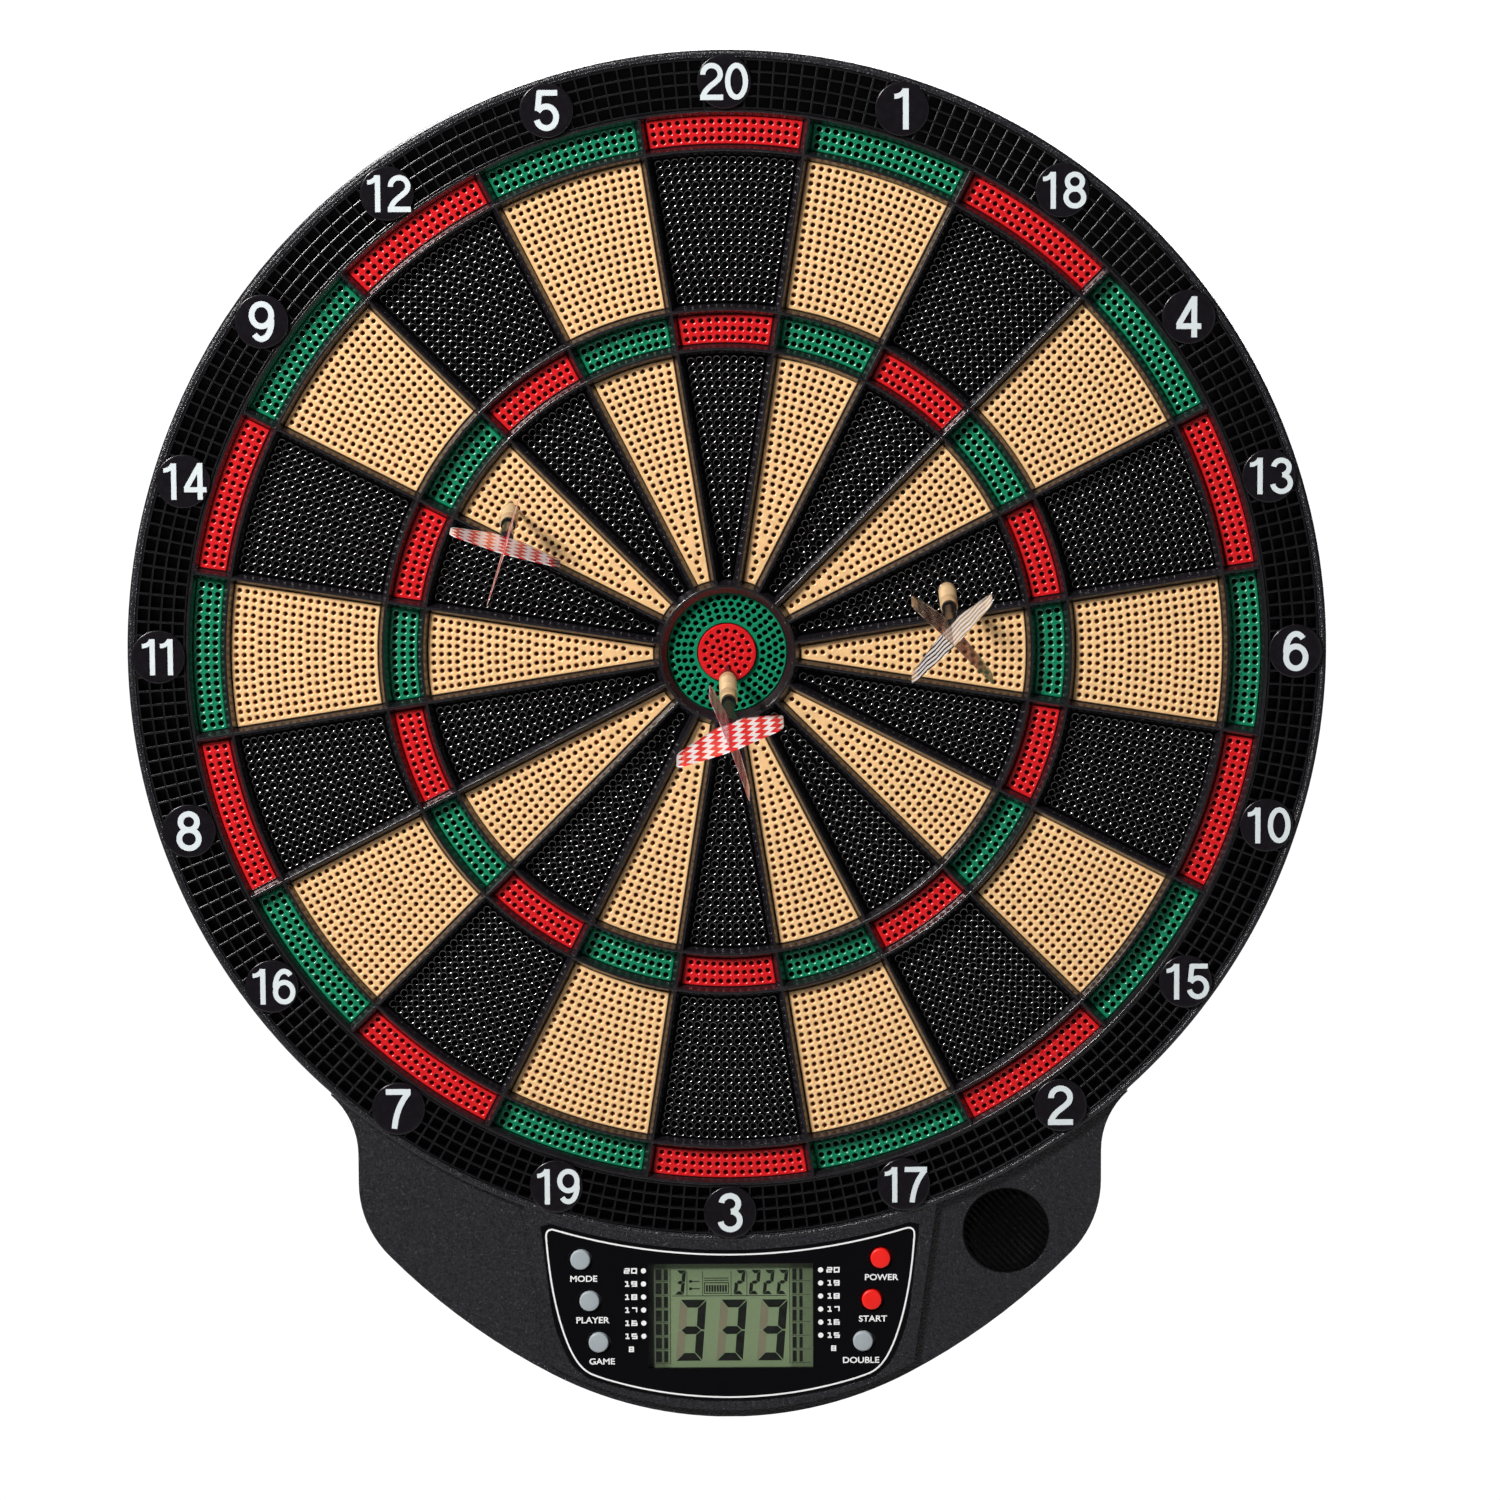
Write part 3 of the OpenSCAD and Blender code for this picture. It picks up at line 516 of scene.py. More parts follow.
# Distance of the first and the last row from the edges, number of rows, and how many holes each has
HOLE_ROWS = {
    "inner_single": (2.1, 2.0, 28, lambda k, radius, reach: 1 + int(2 * reach * radius / HOLE_PITCH)),
    "treble": (1.9, 1.9, 3, lambda k, radius, reach: 11),
    "outer_single": (2.1, 1.75, 18, lambda k, radius, reach: 12 + k // 3),
    "double": (1.9, 1.9, 3, lambda k, radius, reach: 18),
}
# Radius and depth below the face of a hole's funnel, from the mouth down: for the segments, those with a lower
# face, the inner bull and the outer bull
FUNNEL = [(1.34, 0), (0.97, 0.19), (0.9, 0.26), (0.87, 0.4), (0.86, 0.7), (0.86, 6.6)]
WIDE = [(1.36, 0), (1.16, 0.1), (1.04, 0.22), (0.99, 0.42), (0.97, 0.9), (0.97, 6.6)]
NARROW = [(1.1, 0), (0.95, 0.08), (0.84, 0.22), (0.78, 0.45), (0.78, 6.6)]
STRAIGHT = [(1.1, 0), (1.05, 0.06), (1.0, 0.2), (0.98, 0.5), (0.98, 6.6)]


def perforated(loops, face_out, holes, funnel, bore=None):
    """A block with blind dart holes in its face.

    loops are (outline, height) from the back up to the face; bore is the same for a hole through the middle.
    """
    shell = Shell()
    rows = [shell.loop(outline, out) for outline, out in loops]
    shell.bands(rows)
    rims = [rows[-1]]
    if bore:
        inner = [shell.loop(outline, out) for outline, out in bore]
        for a, b in zip(inner, inner[1:]):
            shell.band(b, a)
        rims.append(inner[-1])
        shell.band(inner[0], rows[0])
    else:
        shell.face(rows[0][::-1])
    owner = {}
    for n, centre in enumerate(holes):
        rings = [shell.loop(circle(radius, HOLE_TURNS, 0.5, centre), face_out - depth) for radius, depth in funnel]
        shell.bands(rings, True)
        shell.face(rings[-1])
        rims.append(rings[0])
        owner.update({v: n for v in rings[0]})
    if bore:
        owner.update({v: -1 for v in rims[1]})
    # The face is what lies between the rims: a part of the plane that touches one rim alone is inside a hole
    numbers = [v for rim in rims for v in rim]
    places = [Vector(shell.points[v][:2]) for v in numbers]
    edges, at = [], 0
    for rim in rims:
        edges += [(at + i, at + (i + 1) % len(rim)) for i in range(len(rim))]
        at += len(rim)
    _, _, faces, origin, _, _ = delaunay_2d_cdt(places, edges, [], 1, 1e-6)
    for corners in faces:
        ids = [numbers[origin[c][0]] for c in corners]
        owners = {owner.get(v) for v in ids}
        if len(owners) > 1 or None in owners:
            shell.face(ids)
    return shell


def flanged(face):
    """How far a segment's side is drawn in, and at what height, from its leg over its flange up to its face."""
    return [(0, SEGMENT_LEG), (0, FLANGE_BACK), (-FLANGE_OVER, FLANGE_BACK), (-FLANGE_OVER, FLANGE_FRONT),
            (0, FLANGE_FRONT), (0, face - EDGE), (EDGE, face)]


def number_mesh(kind, face):
    """The mesh that every segment of a kind and height shares, drawn at the top of the board."""
    r_in, r_out = dict(zip(KINDS, (INNER, TREBLE, OUTER, DOUBLE)))[kind]
    inside, outside, rows, count = HOLE_ROWS[kind]
    holes = hole_rows(r_in + inside, r_out - outside, rows, count)
    loops = [(sector(r_in, r_out, inset), out) for inset, out in flanged(face)]
    shell = perforated(loops, face, holes, WIDE if face < SEGMENT_FACE else FUNNEL)
    piece = shell.build(kind, [BLACK])
    mesh = piece.data
    bpy.data.objects.remove(piece)
    return mesh


def build_segments():
    meshes = {(kind, face): number_mesh(kind, face) for kind in KINDS for face in (SEGMENT_FACE, LOW_FACE)}
    for i, number in enumerate(ORDER):
        dark = i % 2 == 0
        single = ("segment_black", BLACK, LOW_FACE) if dark else ("segment_cream", CREAM, SEGMENT_FACE)
        ring = ("segment_red", RED, SEGMENT_FACE) if dark else ("segment_green", GREEN, LOW_FACE)
        node = f"segments_{number:02d}"
        for kind in KINDS:
            slot, material, face = single if "single" in kind else ring
            piece = add_object(f"{kind}_{number:02d}", meshes[kind, face])
            piece.material_slots[0].link = "OBJECT"
            piece.material_slots[0].material = material
            piece.matrix_world = Matrix.Rotation(STEP * i, 4, "Y")
            settle(piece, node, slot, node)


def ring_of_holes(rings):
    """Holes in rings: radius, count and a turn as a share of the pitch."""
    return [place for radius, count, shift in rings for place in circle(radius, count, shift)]


def build_bulls():
    left, _, right, _ = plan_box("inner_bull")
    face, leg = front("inner_bull"), back("inner_bull")
    flange = (right - left) / 2
    over, thick, chamfer = 1.3, 1.4, 0.3
    radius = flange - over
    steps = [(flange, leg), (flange, leg + thick), (radius, leg + thick), (radius, face - chamfer),
             (radius - chamfer, face)]
    holes = ring_of_holes([(0.001, 1, 0), (2.65, 6, 0.5), (5.3, 12, 0.25), (8.05, 17, 0.25)])
    shell = perforated([(circle(r, 64), out) for r, out in steps], face, holes, NARROW)
    settle(shell.build("bull_inner", [RED]), "inner_bull", "segment_red", "inner_bull")

    face = front("outer_bull")
    outer = plan_box("outer_bull")[2] - FLANGE_OVER
    # Room for the inner bull, its flange and its travel
    room, travel, spare, chamfer = 0.5, 1.5, 0.3, 0.15
    wide, hole, shoulder = flange + room, radius + spare, leg + thick + travel + spare
    bore = [(wide, leg), (wide, shoulder), (hole, shoulder), (hole, face - chamfer), (hole + chamfer, face)]
    holes = ring_of_holes([(12.9, 28, 0.0), (15.3, 33, 0.5), (17.6, 38, 0.0), (19.85, 42, 0.5)])
    outlines = [(circle(outer - inset), out) for inset, out in flanged(face)]
    shell = perforated(outlines, face, holes, STRAIGHT, [(circle(r), out) for r, out in bore])
    settle(shell.build("bull_outer", [GREEN]), "outer_bull", "segment_green", "outer_bull")


# ---- rim, catch ring and numbers


def build_rim():
    """The rounded bead along the front of the round rim."""
    radius, out, thick, turns = 212.7, 24.85, 1.25, 240
    shell = Shell()
    rings = [shell.loop(circle(radius + x, turns), out + y) for x, y in circle(thick, 16)]
    shell.bands(rings + rings[:1], True)
    settle(shell.build("rim_bead", [HOUSING]), "board", "housing")


def build_catch_ring():
    """An open grid of cells: one face runs over the walls and down into every cell."""
    left, _, right, _ = plan_box("catch_ring")
    r_out = (right - left) / 2
    gap = 0.2
    r_in = plan_box("spider")[2] + gap
    top, low = front("catch_ring"), back("catch_ring")
    rows, columns = 4, 260
    wall, edge = 0.7, 0.13
    plate = 1.5
    floor = low + plate
    pitch = (r_out - r_in - wall) / rows
    shell = Shell()

    def corner(radius, side, angle):
        """A point beside the middle line of a radial wall, at a distance from it."""
        return polar(radius, angle + math.asin(side / radius))

    cells = {}
    for i in range(columns):
        start, end = 2 * math.pi * i / columns + HALF, 2 * math.pi * (i + 1) / columns + HALF
        for k in range(rows):
            near, far = r_in + k * pitch + wall, r_in + (k + 1) * pitch

            def mouth(grow):
                side = wall / 2 - grow
                return [corner(near - grow, side, start), corner(far + grow, side, start),
                        corner(far + grow, -side, end), corner(near - grow, -side, end)]

            loops = [shell.loop(mouth(edge), top), shell.loop(mouth(edge * 0.3), top - edge * 0.3),
                     shell.loop(mouth(0), top - edge), shell.loop(mouth(0), floor)]
            shell.bands(loops)
            shell.face(loops[-1])
            cells[i, k] = loops[0]
    for i in range(columns):
        j = (i + 1) % columns
        for k in range(rows):
            here, beside = cells[i, k], cells[j, k]
            shell.face((here[3], here[2], beside[1], beside[0]))
            if k < rows - 1:
                above, corner_above = cells[i, k + 1], cells[j, k + 1]
                shell.face((here[1], above[0], above[3], here[2]))
                shell.face((here[2], above[3], corner_above[0], beside[1]))
    for radius, k, inner in ((r_in, 0, True), (r_out, rows - 1, False)):
        a, b = (0, 3) if inner else (1, 2)
        rim = [cells[i, k][n] for i in range(columns) for n in (a, b)]
        angles = [math.atan2(shell.points[v][1], shell.points[v][0]) for v in rim]
        grow = edge if inner else -edge
        crest = shell.loop([polar(radius + grow, t) for t in angles], top)
        shoulder = shell.loop([polar(radius, t) for t in angles], top - edge)
        foot = shell.loop([polar(radius, t) for t in angles], low)
        for p, q in ((rim, crest), (crest, shoulder), (shoulder, foot)):
            shell.band(*((p, q) if inner else (q, p)))
        if inner:
            inner_foot = foot
        else:
            shell.band(inner_foot, foot)
    settle(shell.build("catch_grid", [GRID]), "board", "catch_ring", "catch_ring")


def digit_paths(digit):
    """Centre lines of a numeral 14.5 mm high and 9.1 mm wide, each with its own stroke width."""
    t = 2.05  # stroke
    x, y = 3.475, 6.175  # half width and half height of the middle line
    six = [(arc((0, -2.25), x, 3.93, 0, 360, 36), t),
           (arc((0.1, 0), x + 0.1, y, 47, 186, 22), t)]
    return {
        "0": [(arc((0, 0), x, y, 0, 360, 40), t)],
        "1": [([(1.3, -7.25), (1.3, 7.15)], t),
              (arc((-2.6, 7.75), 3.7, 3.35, -92, -14, 10), 1.75)],
        "2": [(arc((0, 2.85), 3.4, 3.32, 184, -38, 24)
               + bezier((2.4, 0.6), (0.8, -1.3), (-2.9, -2.7), (-3.4, -6.2))[1:], t),
              ([(-4.5, -6.2), (4.5, -6.2)], 2.1)],
        "3": [(arc((-0.1, 3.25), 3.05, 2.93, 172, -82, 24), t),
              (arc((0, -2.85), x, 3.33, 84, -172, 26), t)],
        "4": [([(1.9, -7.25), (1.9, 7.25)], t), ([(-4.4, -3.3), (4.4, -3.3)], 2.0),
              ([(-3.75, -3.0), (1.6, 6.3)], 2.0)],
        "5": [([(-2.9, 6.2), (3.9, 6.2)], 2.0), ([(-2.35, 6.9), (-3.05, -0.1)], 2.0),
              (arc((0, -2.35), x, 3.8, 148, -165, 28), t)],
        "6": six,
        "7": [([(-4.5, 6.2), (4.45, 6.2)], 2.1),
              (bezier((3.7, 5.9), (0.9, 2.6), (-1.0, -1.6), (-1.5, -7.25)), t)],
        "8": [(arc((0, 3.3), 2.95, 2.88, 0, 360, 32), t),
              (arc((0, -2.85), x, 3.33, 0, 360, 32), t)],
        "9": [([(-a, -b) for a, b in path], width) for path, width in six],
    }[digit]


def build_numbers():
    top, low = front("number_discs"), back("number_discs")
    radius, fillet, chamfer, rim = 9.6, 0.45, 0.2, 1.4
    at = plan_box("number_discs")[3] - radius
    pitch, pair_size = 8.8, 0.9
    pulled = 1.2  # how much the two ones of 11 move together
    round_edge = [(radius - fillet + fillet * math.cos(a), top - fillet + fillet * math.sin(a))
                  for a in (0, math.pi / 8, math.pi / 4, 3 * math.pi / 8, math.pi / 2)]
    profile = [(0, low), (radius - chamfer, low), (radius, low + chamfer), *round_edge, (radius - rim, top), (0, top)]
    discs, numerals = Shell(), Shell()
    for i, number in enumerate(ORDER):
        centre = polar(at, math.pi / 2 - STEP * i)
        discs.lathe(centre, profile, 72)
        text = str(number)
        size = 1.0 if len(text) == 1 else pair_size
        for n, digit in enumerate(text):
            shift = (n - (len(text) - 1) / 2) * pitch
            if number == 11:
                shift += (pulled, -pulled)[n]
            patches = []
            for path, width in digit_paths(digit):
                placed = [(centre[0] + shift + x * size, centre[1] + y * size) for x, y in path]
                patches += ribbon(placed, width * size)
            flat_shape(numerals, patches, top)
    settle(discs.build("discs", [DISC]), "board", "disc", "number_discs")
    settle(numerals.build("numerals", [NUMERAL]), "board", "numeral")


# ---- control panel

PANEL_FACE = front("faceplate")
LCD_FACE = front("lcd_panel")
LCD_INK_T = 0.02
BUTTONS = [name + "_button" for name in ("mode", "player", "game", "power", "start", "double")]


def panel_outline():
    """The printed line around the panel: a hollow top, leaning sides and a round chin, with round corners."""
    right = arc((0, 0), 218.7, 218.7, -90, -73.2, 16)
    right += bezier((63.2, -209.2), (66.2, -208.6), (66.9, -210.2), (66.5, -213.0), 6)[1:]
    right += bezier((66.5, -213.0), (65.6, -226.0), (63.4, -241.0), (58.6, -252.5), 14)[1:]
    right += bezier((58.6, -252.5), (55.8, -259.0), (53.0, -261.9), (48.8, -263.3), 9)[1:]
    right += arc((0, -118.4), 153, 153, -71.4, -89, 14)[1:]
    return right + [(0, -271.4)] + [(-x, y) for x, y in right[::-1]]


def lettering(shell, text, centre, height, stretch):
    """Printed text, centred on a plan point."""
    curve = bpy.data.curves.new(text, "FONT")
    curve.body = text
    curve.size = 1.0
    curve.align_x, curve.align_y = "CENTER", "CENTER"
    curve.offset = 0.018  # fattens the strokes
    curve.extrude = 0.01
    curve.resolution_u = 4
    holder = add_object(text, curve)
    bpy.context.view_layer.update()
    mesh = bpy.data.meshes.new_from_object(holder)
    bpy.data.objects.remove(holder)
    xs, ys = ([v.co[k] for v in mesh.vertices] for k in (0, 1))
    scale = height / (max(ys) - min(ys))
    middle = Vector(((max(xs) + min(xs)) / 2, (max(ys) + min(ys)) / 2, 0))
    start = len(shell.points)
    for v in mesh.vertices:
        x, y, z = (v.co - middle) * scale
        shell.points.append((centre[0] + x * stretch, centre[1] + y, PANEL_FACE + (INK_T if z > 0 else 0.0)))
    for p in mesh.polygons:
        shell.face([start + v for v in p.vertices])
    bpy.data.meshes.remove(mesh)


def weld(mesh):
    """Joins points that lie in the same place."""
    work = bmesh.new()
    work.from_mesh(mesh)
    bmesh.ops.remove_doubles(work, verts=work.verts, dist=0.001 * MM)
    work.to_mesh(mesh)
    work.free()


# Strokes of the square scale marks, in a box of one by one
SQUARE_MARKS = {
    "0": [[(0, 0), (1, 0), (1, 1), (0, 1), (0, 0)]],
    "1": [[(0.1, 1), (0.6, 1), (0.6, 0)], [(0.1, 0), (1, 0)]],
    "2": [[(0, 1), (1, 1), (1, 0.5), (0, 0.5), (0, 0), (1, 0)]],
    "5": [[(1, 1), (0, 1), (0, 0.5), (1, 0.5), (1, 0), (0, 0)]],
    "6": [[(1, 1), (0, 1), (0, 0), (1, 0), (1, 0.5), (0, 0.5)]],
    "7": [[(0, 1), (1, 1), (1, 0)]],
    "8": [[(0, 0), (1, 0), (1, 1), (0, 1), (0, 0)], [(0, 0.5), (1, 0.5)]],
    "9": [[(0, 0), (1, 0), (1, 1), (0, 1), (0, 0.5), (1, 0.5)]],
    "B": [[(0.2, 0), (1, 0), (1, 1), (0.2, 1), (0.2, 0)], [(0.2, 0.5), (1, 0.5)]],
}


def square_text(shell, text, centre):
    """Scale mark in square digits, centred on a plan point."""
    width, height, line, pitch = 1.65, 1.55, 0.5, 2.62
    for n, mark in enumerate(text):
        left = centre[0] + (n - (len(text) - 1) / 2) * pitch - width / 2
        patches = []
        for path in SQUARE_MARKS[mark]:
            patches += ribbon([(left + x * width, centre[1] + (y - 0.5) * height) for x, y in path], line)
        flat_shape(shell, patches, PANEL_FACE)


def build_panel():
    line = Shell()
    flat_shape(line, ribbon(panel_outline(), 0.6), PANEL_FACE)
    settle(line.build("panel_line", [PRINT]), "board", "panel_print")

    texts = Shell()
    below, height, stretch = 7.1, 2.3, 1.12
    for node in BUTTONS:
        text = node.removesuffix("_button").upper()
        x, y = plan_centre(node)
        shift = 1.2 if x < 0 else -0.7 if text == "DOUBLE" else 0.4
        lettering(texts, text, (x + shift, y - below), height, stretch)
    labels = texts.build("panel_labels", [PRINT])
    weld(labels.data)
    settle(labels, "board", "panel_print")

    scale_top, scale_pitch, dot = -224.5, 4.83, 0.95
    top = PANEL_FACE + INK_T
    dot_profile = [(0, PANEL_FACE), (dot, PANEL_FACE), (dot, top), (0, top)]
    marks = Shell()
    for row, mark in enumerate(["20", "19", "18", "17", "16", "15", "B"]):
        y = scale_top - scale_pitch * row
        for dot_x, text_x in ((-31.5, -36.2), (32.6, 37.1)):
            square_text(marks, mark, (text_x, y))
            if mark != "B":
                marks.lathe((dot_x, y), dot_profile, 24, False)
    settle(marks.build("panel_scale", [PRINT]), "board", "panel_print")


def build_buttons():
    radius, fillet, crown = 3.6, 0.5, 0.12
    flange, flange_over, chamfer = 0.8, 1.5, 0.1
    for node in BUTTONS:
        low, top = back(node), front(node)
        tone, material = ("red", BUTTON_RED) if node in ("power_button", "start_button") else ("grey", BUTTON_GREY)
        turns = [math.pi / 2 * (1 - i / 5) for i in range(6)]
        edge = [(radius - fillet + fillet * math.sin(a), top - crown - fillet + fillet * math.cos(a)) for a in turns]
        dome = [(r, top - crown * (r / (radius - fillet)) ** 2) for r in (2.4, 1.6, 0.8)]
        base = [(flange_over - chamfer, 0), (flange_over, chamfer), (flange_over, flange), (0, flange)]
        profile = [(0, low), *((radius + x, low + out) for x, out in base), *edge, *dome, (0, top)]
        cap = Shell()
        cap.lathe(plan_centre(node), profile)
        settle(cap.build(node + "_cap", [material]), node, "button_" + tone, node)


def seven_segments(shell, left, bottom, width, height, thick, lean, lit, ghost=""):
    """A seven-segment digit that leans to the right, with segments a to g lit or faintly seen."""
    gap = thick * 0.1
    half = height / 2
    w, h, t = width, height, thick

    def put(points, paint):
        placed = [(left + x + lean * y, bottom + y) for x, y in points]
        area = sum(a[0] * b[1] - b[0] * a[1] for a, b in zip(placed, placed[1:] + placed[:1]))
        shell.slab(placed if area > 0 else placed[::-1], LCD_FACE, LCD_FACE + LCD_INK_T, paint)

    upper = {
        "a": [(gap, h), (w - gap, h), (w - t, h - t), (t, h - t)],
        "b": [(w, h - gap), (w, half + gap), (w - t * 0.4, half + gap), (w - t, half + t / 2 + gap),
              (w - t, h - t - gap)],
        "f": [(0, h - gap), (t, h - t - gap), (t, half + t / 2 + gap), (t * 0.4, half + gap), (0, half + gap)],
    }
    shapes = {lower: [(x, h - y) for x, y in upper[key]] for lower, key in ("da", "cb", "ef")}
    shapes.update(upper)
    shapes["g"] = [(t * 0.45, half), (t, half + t / 2), (w - t, half + t / 2), (w - t * 0.45, half),
                   (w - t, half - t / 2), (t, half - t / 2)]
    for paint, keys in enumerate((lit, ghost)):
        for key in keys:
            put(shapes[key], paint)


def build_display():
    ink = Shell()

    def bar(x0, y0, x1, y1):
        ink.slab([(x0, y0), (x1, y0), (x1, y1), (x0, y1)], LCD_FACE, LCD_FACE + LCD_INK_T)

    big, small = (9.6, 22.6, 2.9, 0.075), (3.5, 9.0, 1.25, 0.1)  # width, height, stroke and lean
    low_row, high_row = -258.4, -233.9
    for left in (-20.0, -5.3, 9.4):
        seven_segments(ink, left, low_row, *big, "abcdg", "ef")
    for left in (1.1, 6.6, 11.6, 16.6):
        seven_segments(ink, left, high_row, *small, "abged")
    seven_segments(ink, -20.3, high_row, 3.3, *small[1:], "abcdg")
    # Rules between the fields
    rule = 0.22
    bar(-21.3, -234.5, 20.2, -234.25)
    for x in (-15.9, -10.2, 0.1, 5.8):
        bar(x, -234.3, x + rule, -225.3)
    for x in (-22.0, 21.3):
        bar(x, -259.6, x + rule, -224.0)
    # Two arrows
    for y in (-229.2, -231.9):
        bar(-15.0, y, -11.2, y + 0.35)
        bar(-15.0, y - 0.3, -14.0, y + 0.65)
    # Two lines, and a framed field of eight bars below them
    thin = 0.3
    for y in (-228.8, -228.0):
        bar(-9.5, y, -0.7, y + thin)
    for y in (-233.6, -229.7):
        bar(-9.6, y, -0.6, y + thin)
    for x in (-9.6, -0.9):
        bar(x, -233.6, x + thin, -229.4)
    for i in range(8):
        bar(-8.9 + i * 0.98, -232.9, -8.2 + i * 0.98, -230.4)
    # Marker columns at the sides
    for k in range(7):
        low = -259.2 + k * 5.05
        for x0, x1 in ((-24.2, -22.7), (-27.2, -25.0), (22.4, 23.9), (24.9, 26.1)):
            bar(x0, low + 0.3, x1, low + 4.4)
        for x0, x1 in ((-27.4, -22.3), (22.0, 29.0)):
            bar(x0, low - 0.15, x1, low)
    settle(ink.build("display_marks", [LCD_INK, LCD_GHOST]), "board", "lcd_ink")

    # Dark frame beside the display, at the left under the lens
    left, bottom, _, top = plan_box("lcd_panel")
    right = plan_box("window_lens")[0] + 4.0
    frame_side = Shell()
    frame_side.slab([(left, bottom), (right, bottom), (right, top), (left, top)], LCD_FACE, LCD_FACE + 0.05)
    settle(frame_side.build("display_edge", [SWITCH]), "board", "switch")


# ---- darts


def flight_print(name, near, far, third=None, tip=None, period=5.5, share=0.55, tooth=1.8, film=0.0, span=False):
    """Printed film with saw-edged stripes; attribute "wing" holds the place on the wing in millimetres.

    near and far are the colours of the stripes, third takes near's place on one half of the wing, and tip is the
    colour of the other half's end. Stripes run along the dart, or along the wing's span if span is set. film is how
    much shows through.
    """
    tooth_pitch = 8.2
    p = Paint(name, near, 0.22)
    place = p.add("ShaderNodeAttribute", attribute_name="wing").outputs["Vector"]
    across, along = p.axis("X", place), p.axis("Y", place)
    count, run = (along, across) if span else (across, along)
    saw = p.maths("MULTIPLY", p.maths("PINGPONG", run, tooth_pitch / 2), 2 * tooth / tooth_pitch)
    positive = p.maths("ADD", p.maths("ADD", count, saw), 100 * period)
    stripe = p.maths("LESS_THAN", p.maths("FRACT", p.maths("DIVIDE", positive, period)), share)
    if third:
        near = p.mix(p.maths("GREATER_THAN", across, 0.0), near, third)
    colour = p.mix(stripe, far, near)
    if tip:
        colour = p.mix(p.maths("LESS_THAN", across, -12.0), colour, tip)
    worn = p.spread(p.noise(2.0, 4), 0.0, 0.08, 0.4, 0.8)
    p.set("Base Color", p.mix(worn, colour, (0.6, 0.55, 0.52)))
    p.set("Coat Weight", 0.4)
    p.set("Coat Roughness", 0.06)
    p.bump(p.noise(6, 2), 0.15)
    if film:
        p.blend(film, p.shader, p.add("ShaderNodeBsdfTransparent", Color=(0.95, 0.82, 0.82, 1)))
    return p.material


WHITE_FILM = (0.86, 0.82, 0.84)
RED_INK = (0.74, 0.006, 0.014)
DARTS = {
    "dart_1": [
        ("wide", flight_print("flight_1_wide", RED_INK, WHITE_FILM, tooth=2.4), "flight_red"),
        ("tall", flight_print("flight_1_tall", (0.62, 0.12, 0.15), (0.80, 0.56, 0.58), film=0.3), "flight_clear"),
    ],
    "dart_2": [
        ("wide", flight_print("flight_2_wide", RED_INK, WHITE_FILM, tooth=2.6, share=0.46), "flight_red"),
        ("tall", flight_print("flight_2_tall", (0.62, 0.20, 0.18), (0.82, 0.55, 0.50), film=0.3), "flight_clear"),
    ],
    "dart_3": [
        ("wide", flight_print("flight_3_wide", (0.008, 0.008, 0.008), WHITE_FILM, (0.50, 0.34, 0.17),
                              period=8.0, tooth=2.6, share=0.45, span=True), "flight_white"),
        ("tall", flight_print("flight_3_tall", (0.10, 0.06, 0.04), (0.46, 0.36, 0.25),
                              tip=(0.02, 0.22, 0.09), film=0.4), "flight_clear"),
    ],
}
FLIGHT_L = 42
FLIGHT_SPAN = 19.3
FILM_T = 0.14
# Half outline of a flight: distance from the axis, then place along the dart
FLIGHT_SIDE = ([(0.0, 0.0), (5.0, 0.6)] + bezier((6.0, 1.6), (11, 8), (16, 12), (18.6, 18.0), 6)
               + bezier((18.9, 19.0), (19.3, 20.2), (19.3, 22.0), (19.3, 24.0), 3)
               + bezier((19.3, 37.0), (19.2, 39.5), (18.0, 40.6), (16.2, 40.9), 4) + [(3.0, 42.0), (0.0, 38.5)])


def dart_axes(dart):
    """Tail direction of a dart, the middle of its flight's front end, and its two wing directions."""
    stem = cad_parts[dart + "_stem"].data
    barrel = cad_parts[dart + "_barrel"].data
    middle = [sum((v.co for v in m.vertices), Vector()) / len(m.vertices) for m in (barrel, stem)]
    ahead = (middle[1] - middle[0]).normalized()
    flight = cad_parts[dart + "_flight"].data
    start = min(v.co.dot(ahead) for v in flight.vertices)
    on_axis = middle[1] + ahead * (start - middle[1].dot(ahead))
    reach = [v.co - on_axis for v in flight.vertices]
    reach = [r - ahead * r.dot(ahead) for r in reach]
    longest = max(r.length for r in reach)
    # The wide wing is the one whose end lies furthest right and a little up
    wide = max((r for r in reach if r.length > 0.98 * longest), key=lambda r: r.x + 0.4 * r.z).normalized()
    return ahead, on_axis, wide, ahead.cross(wide).normalized()


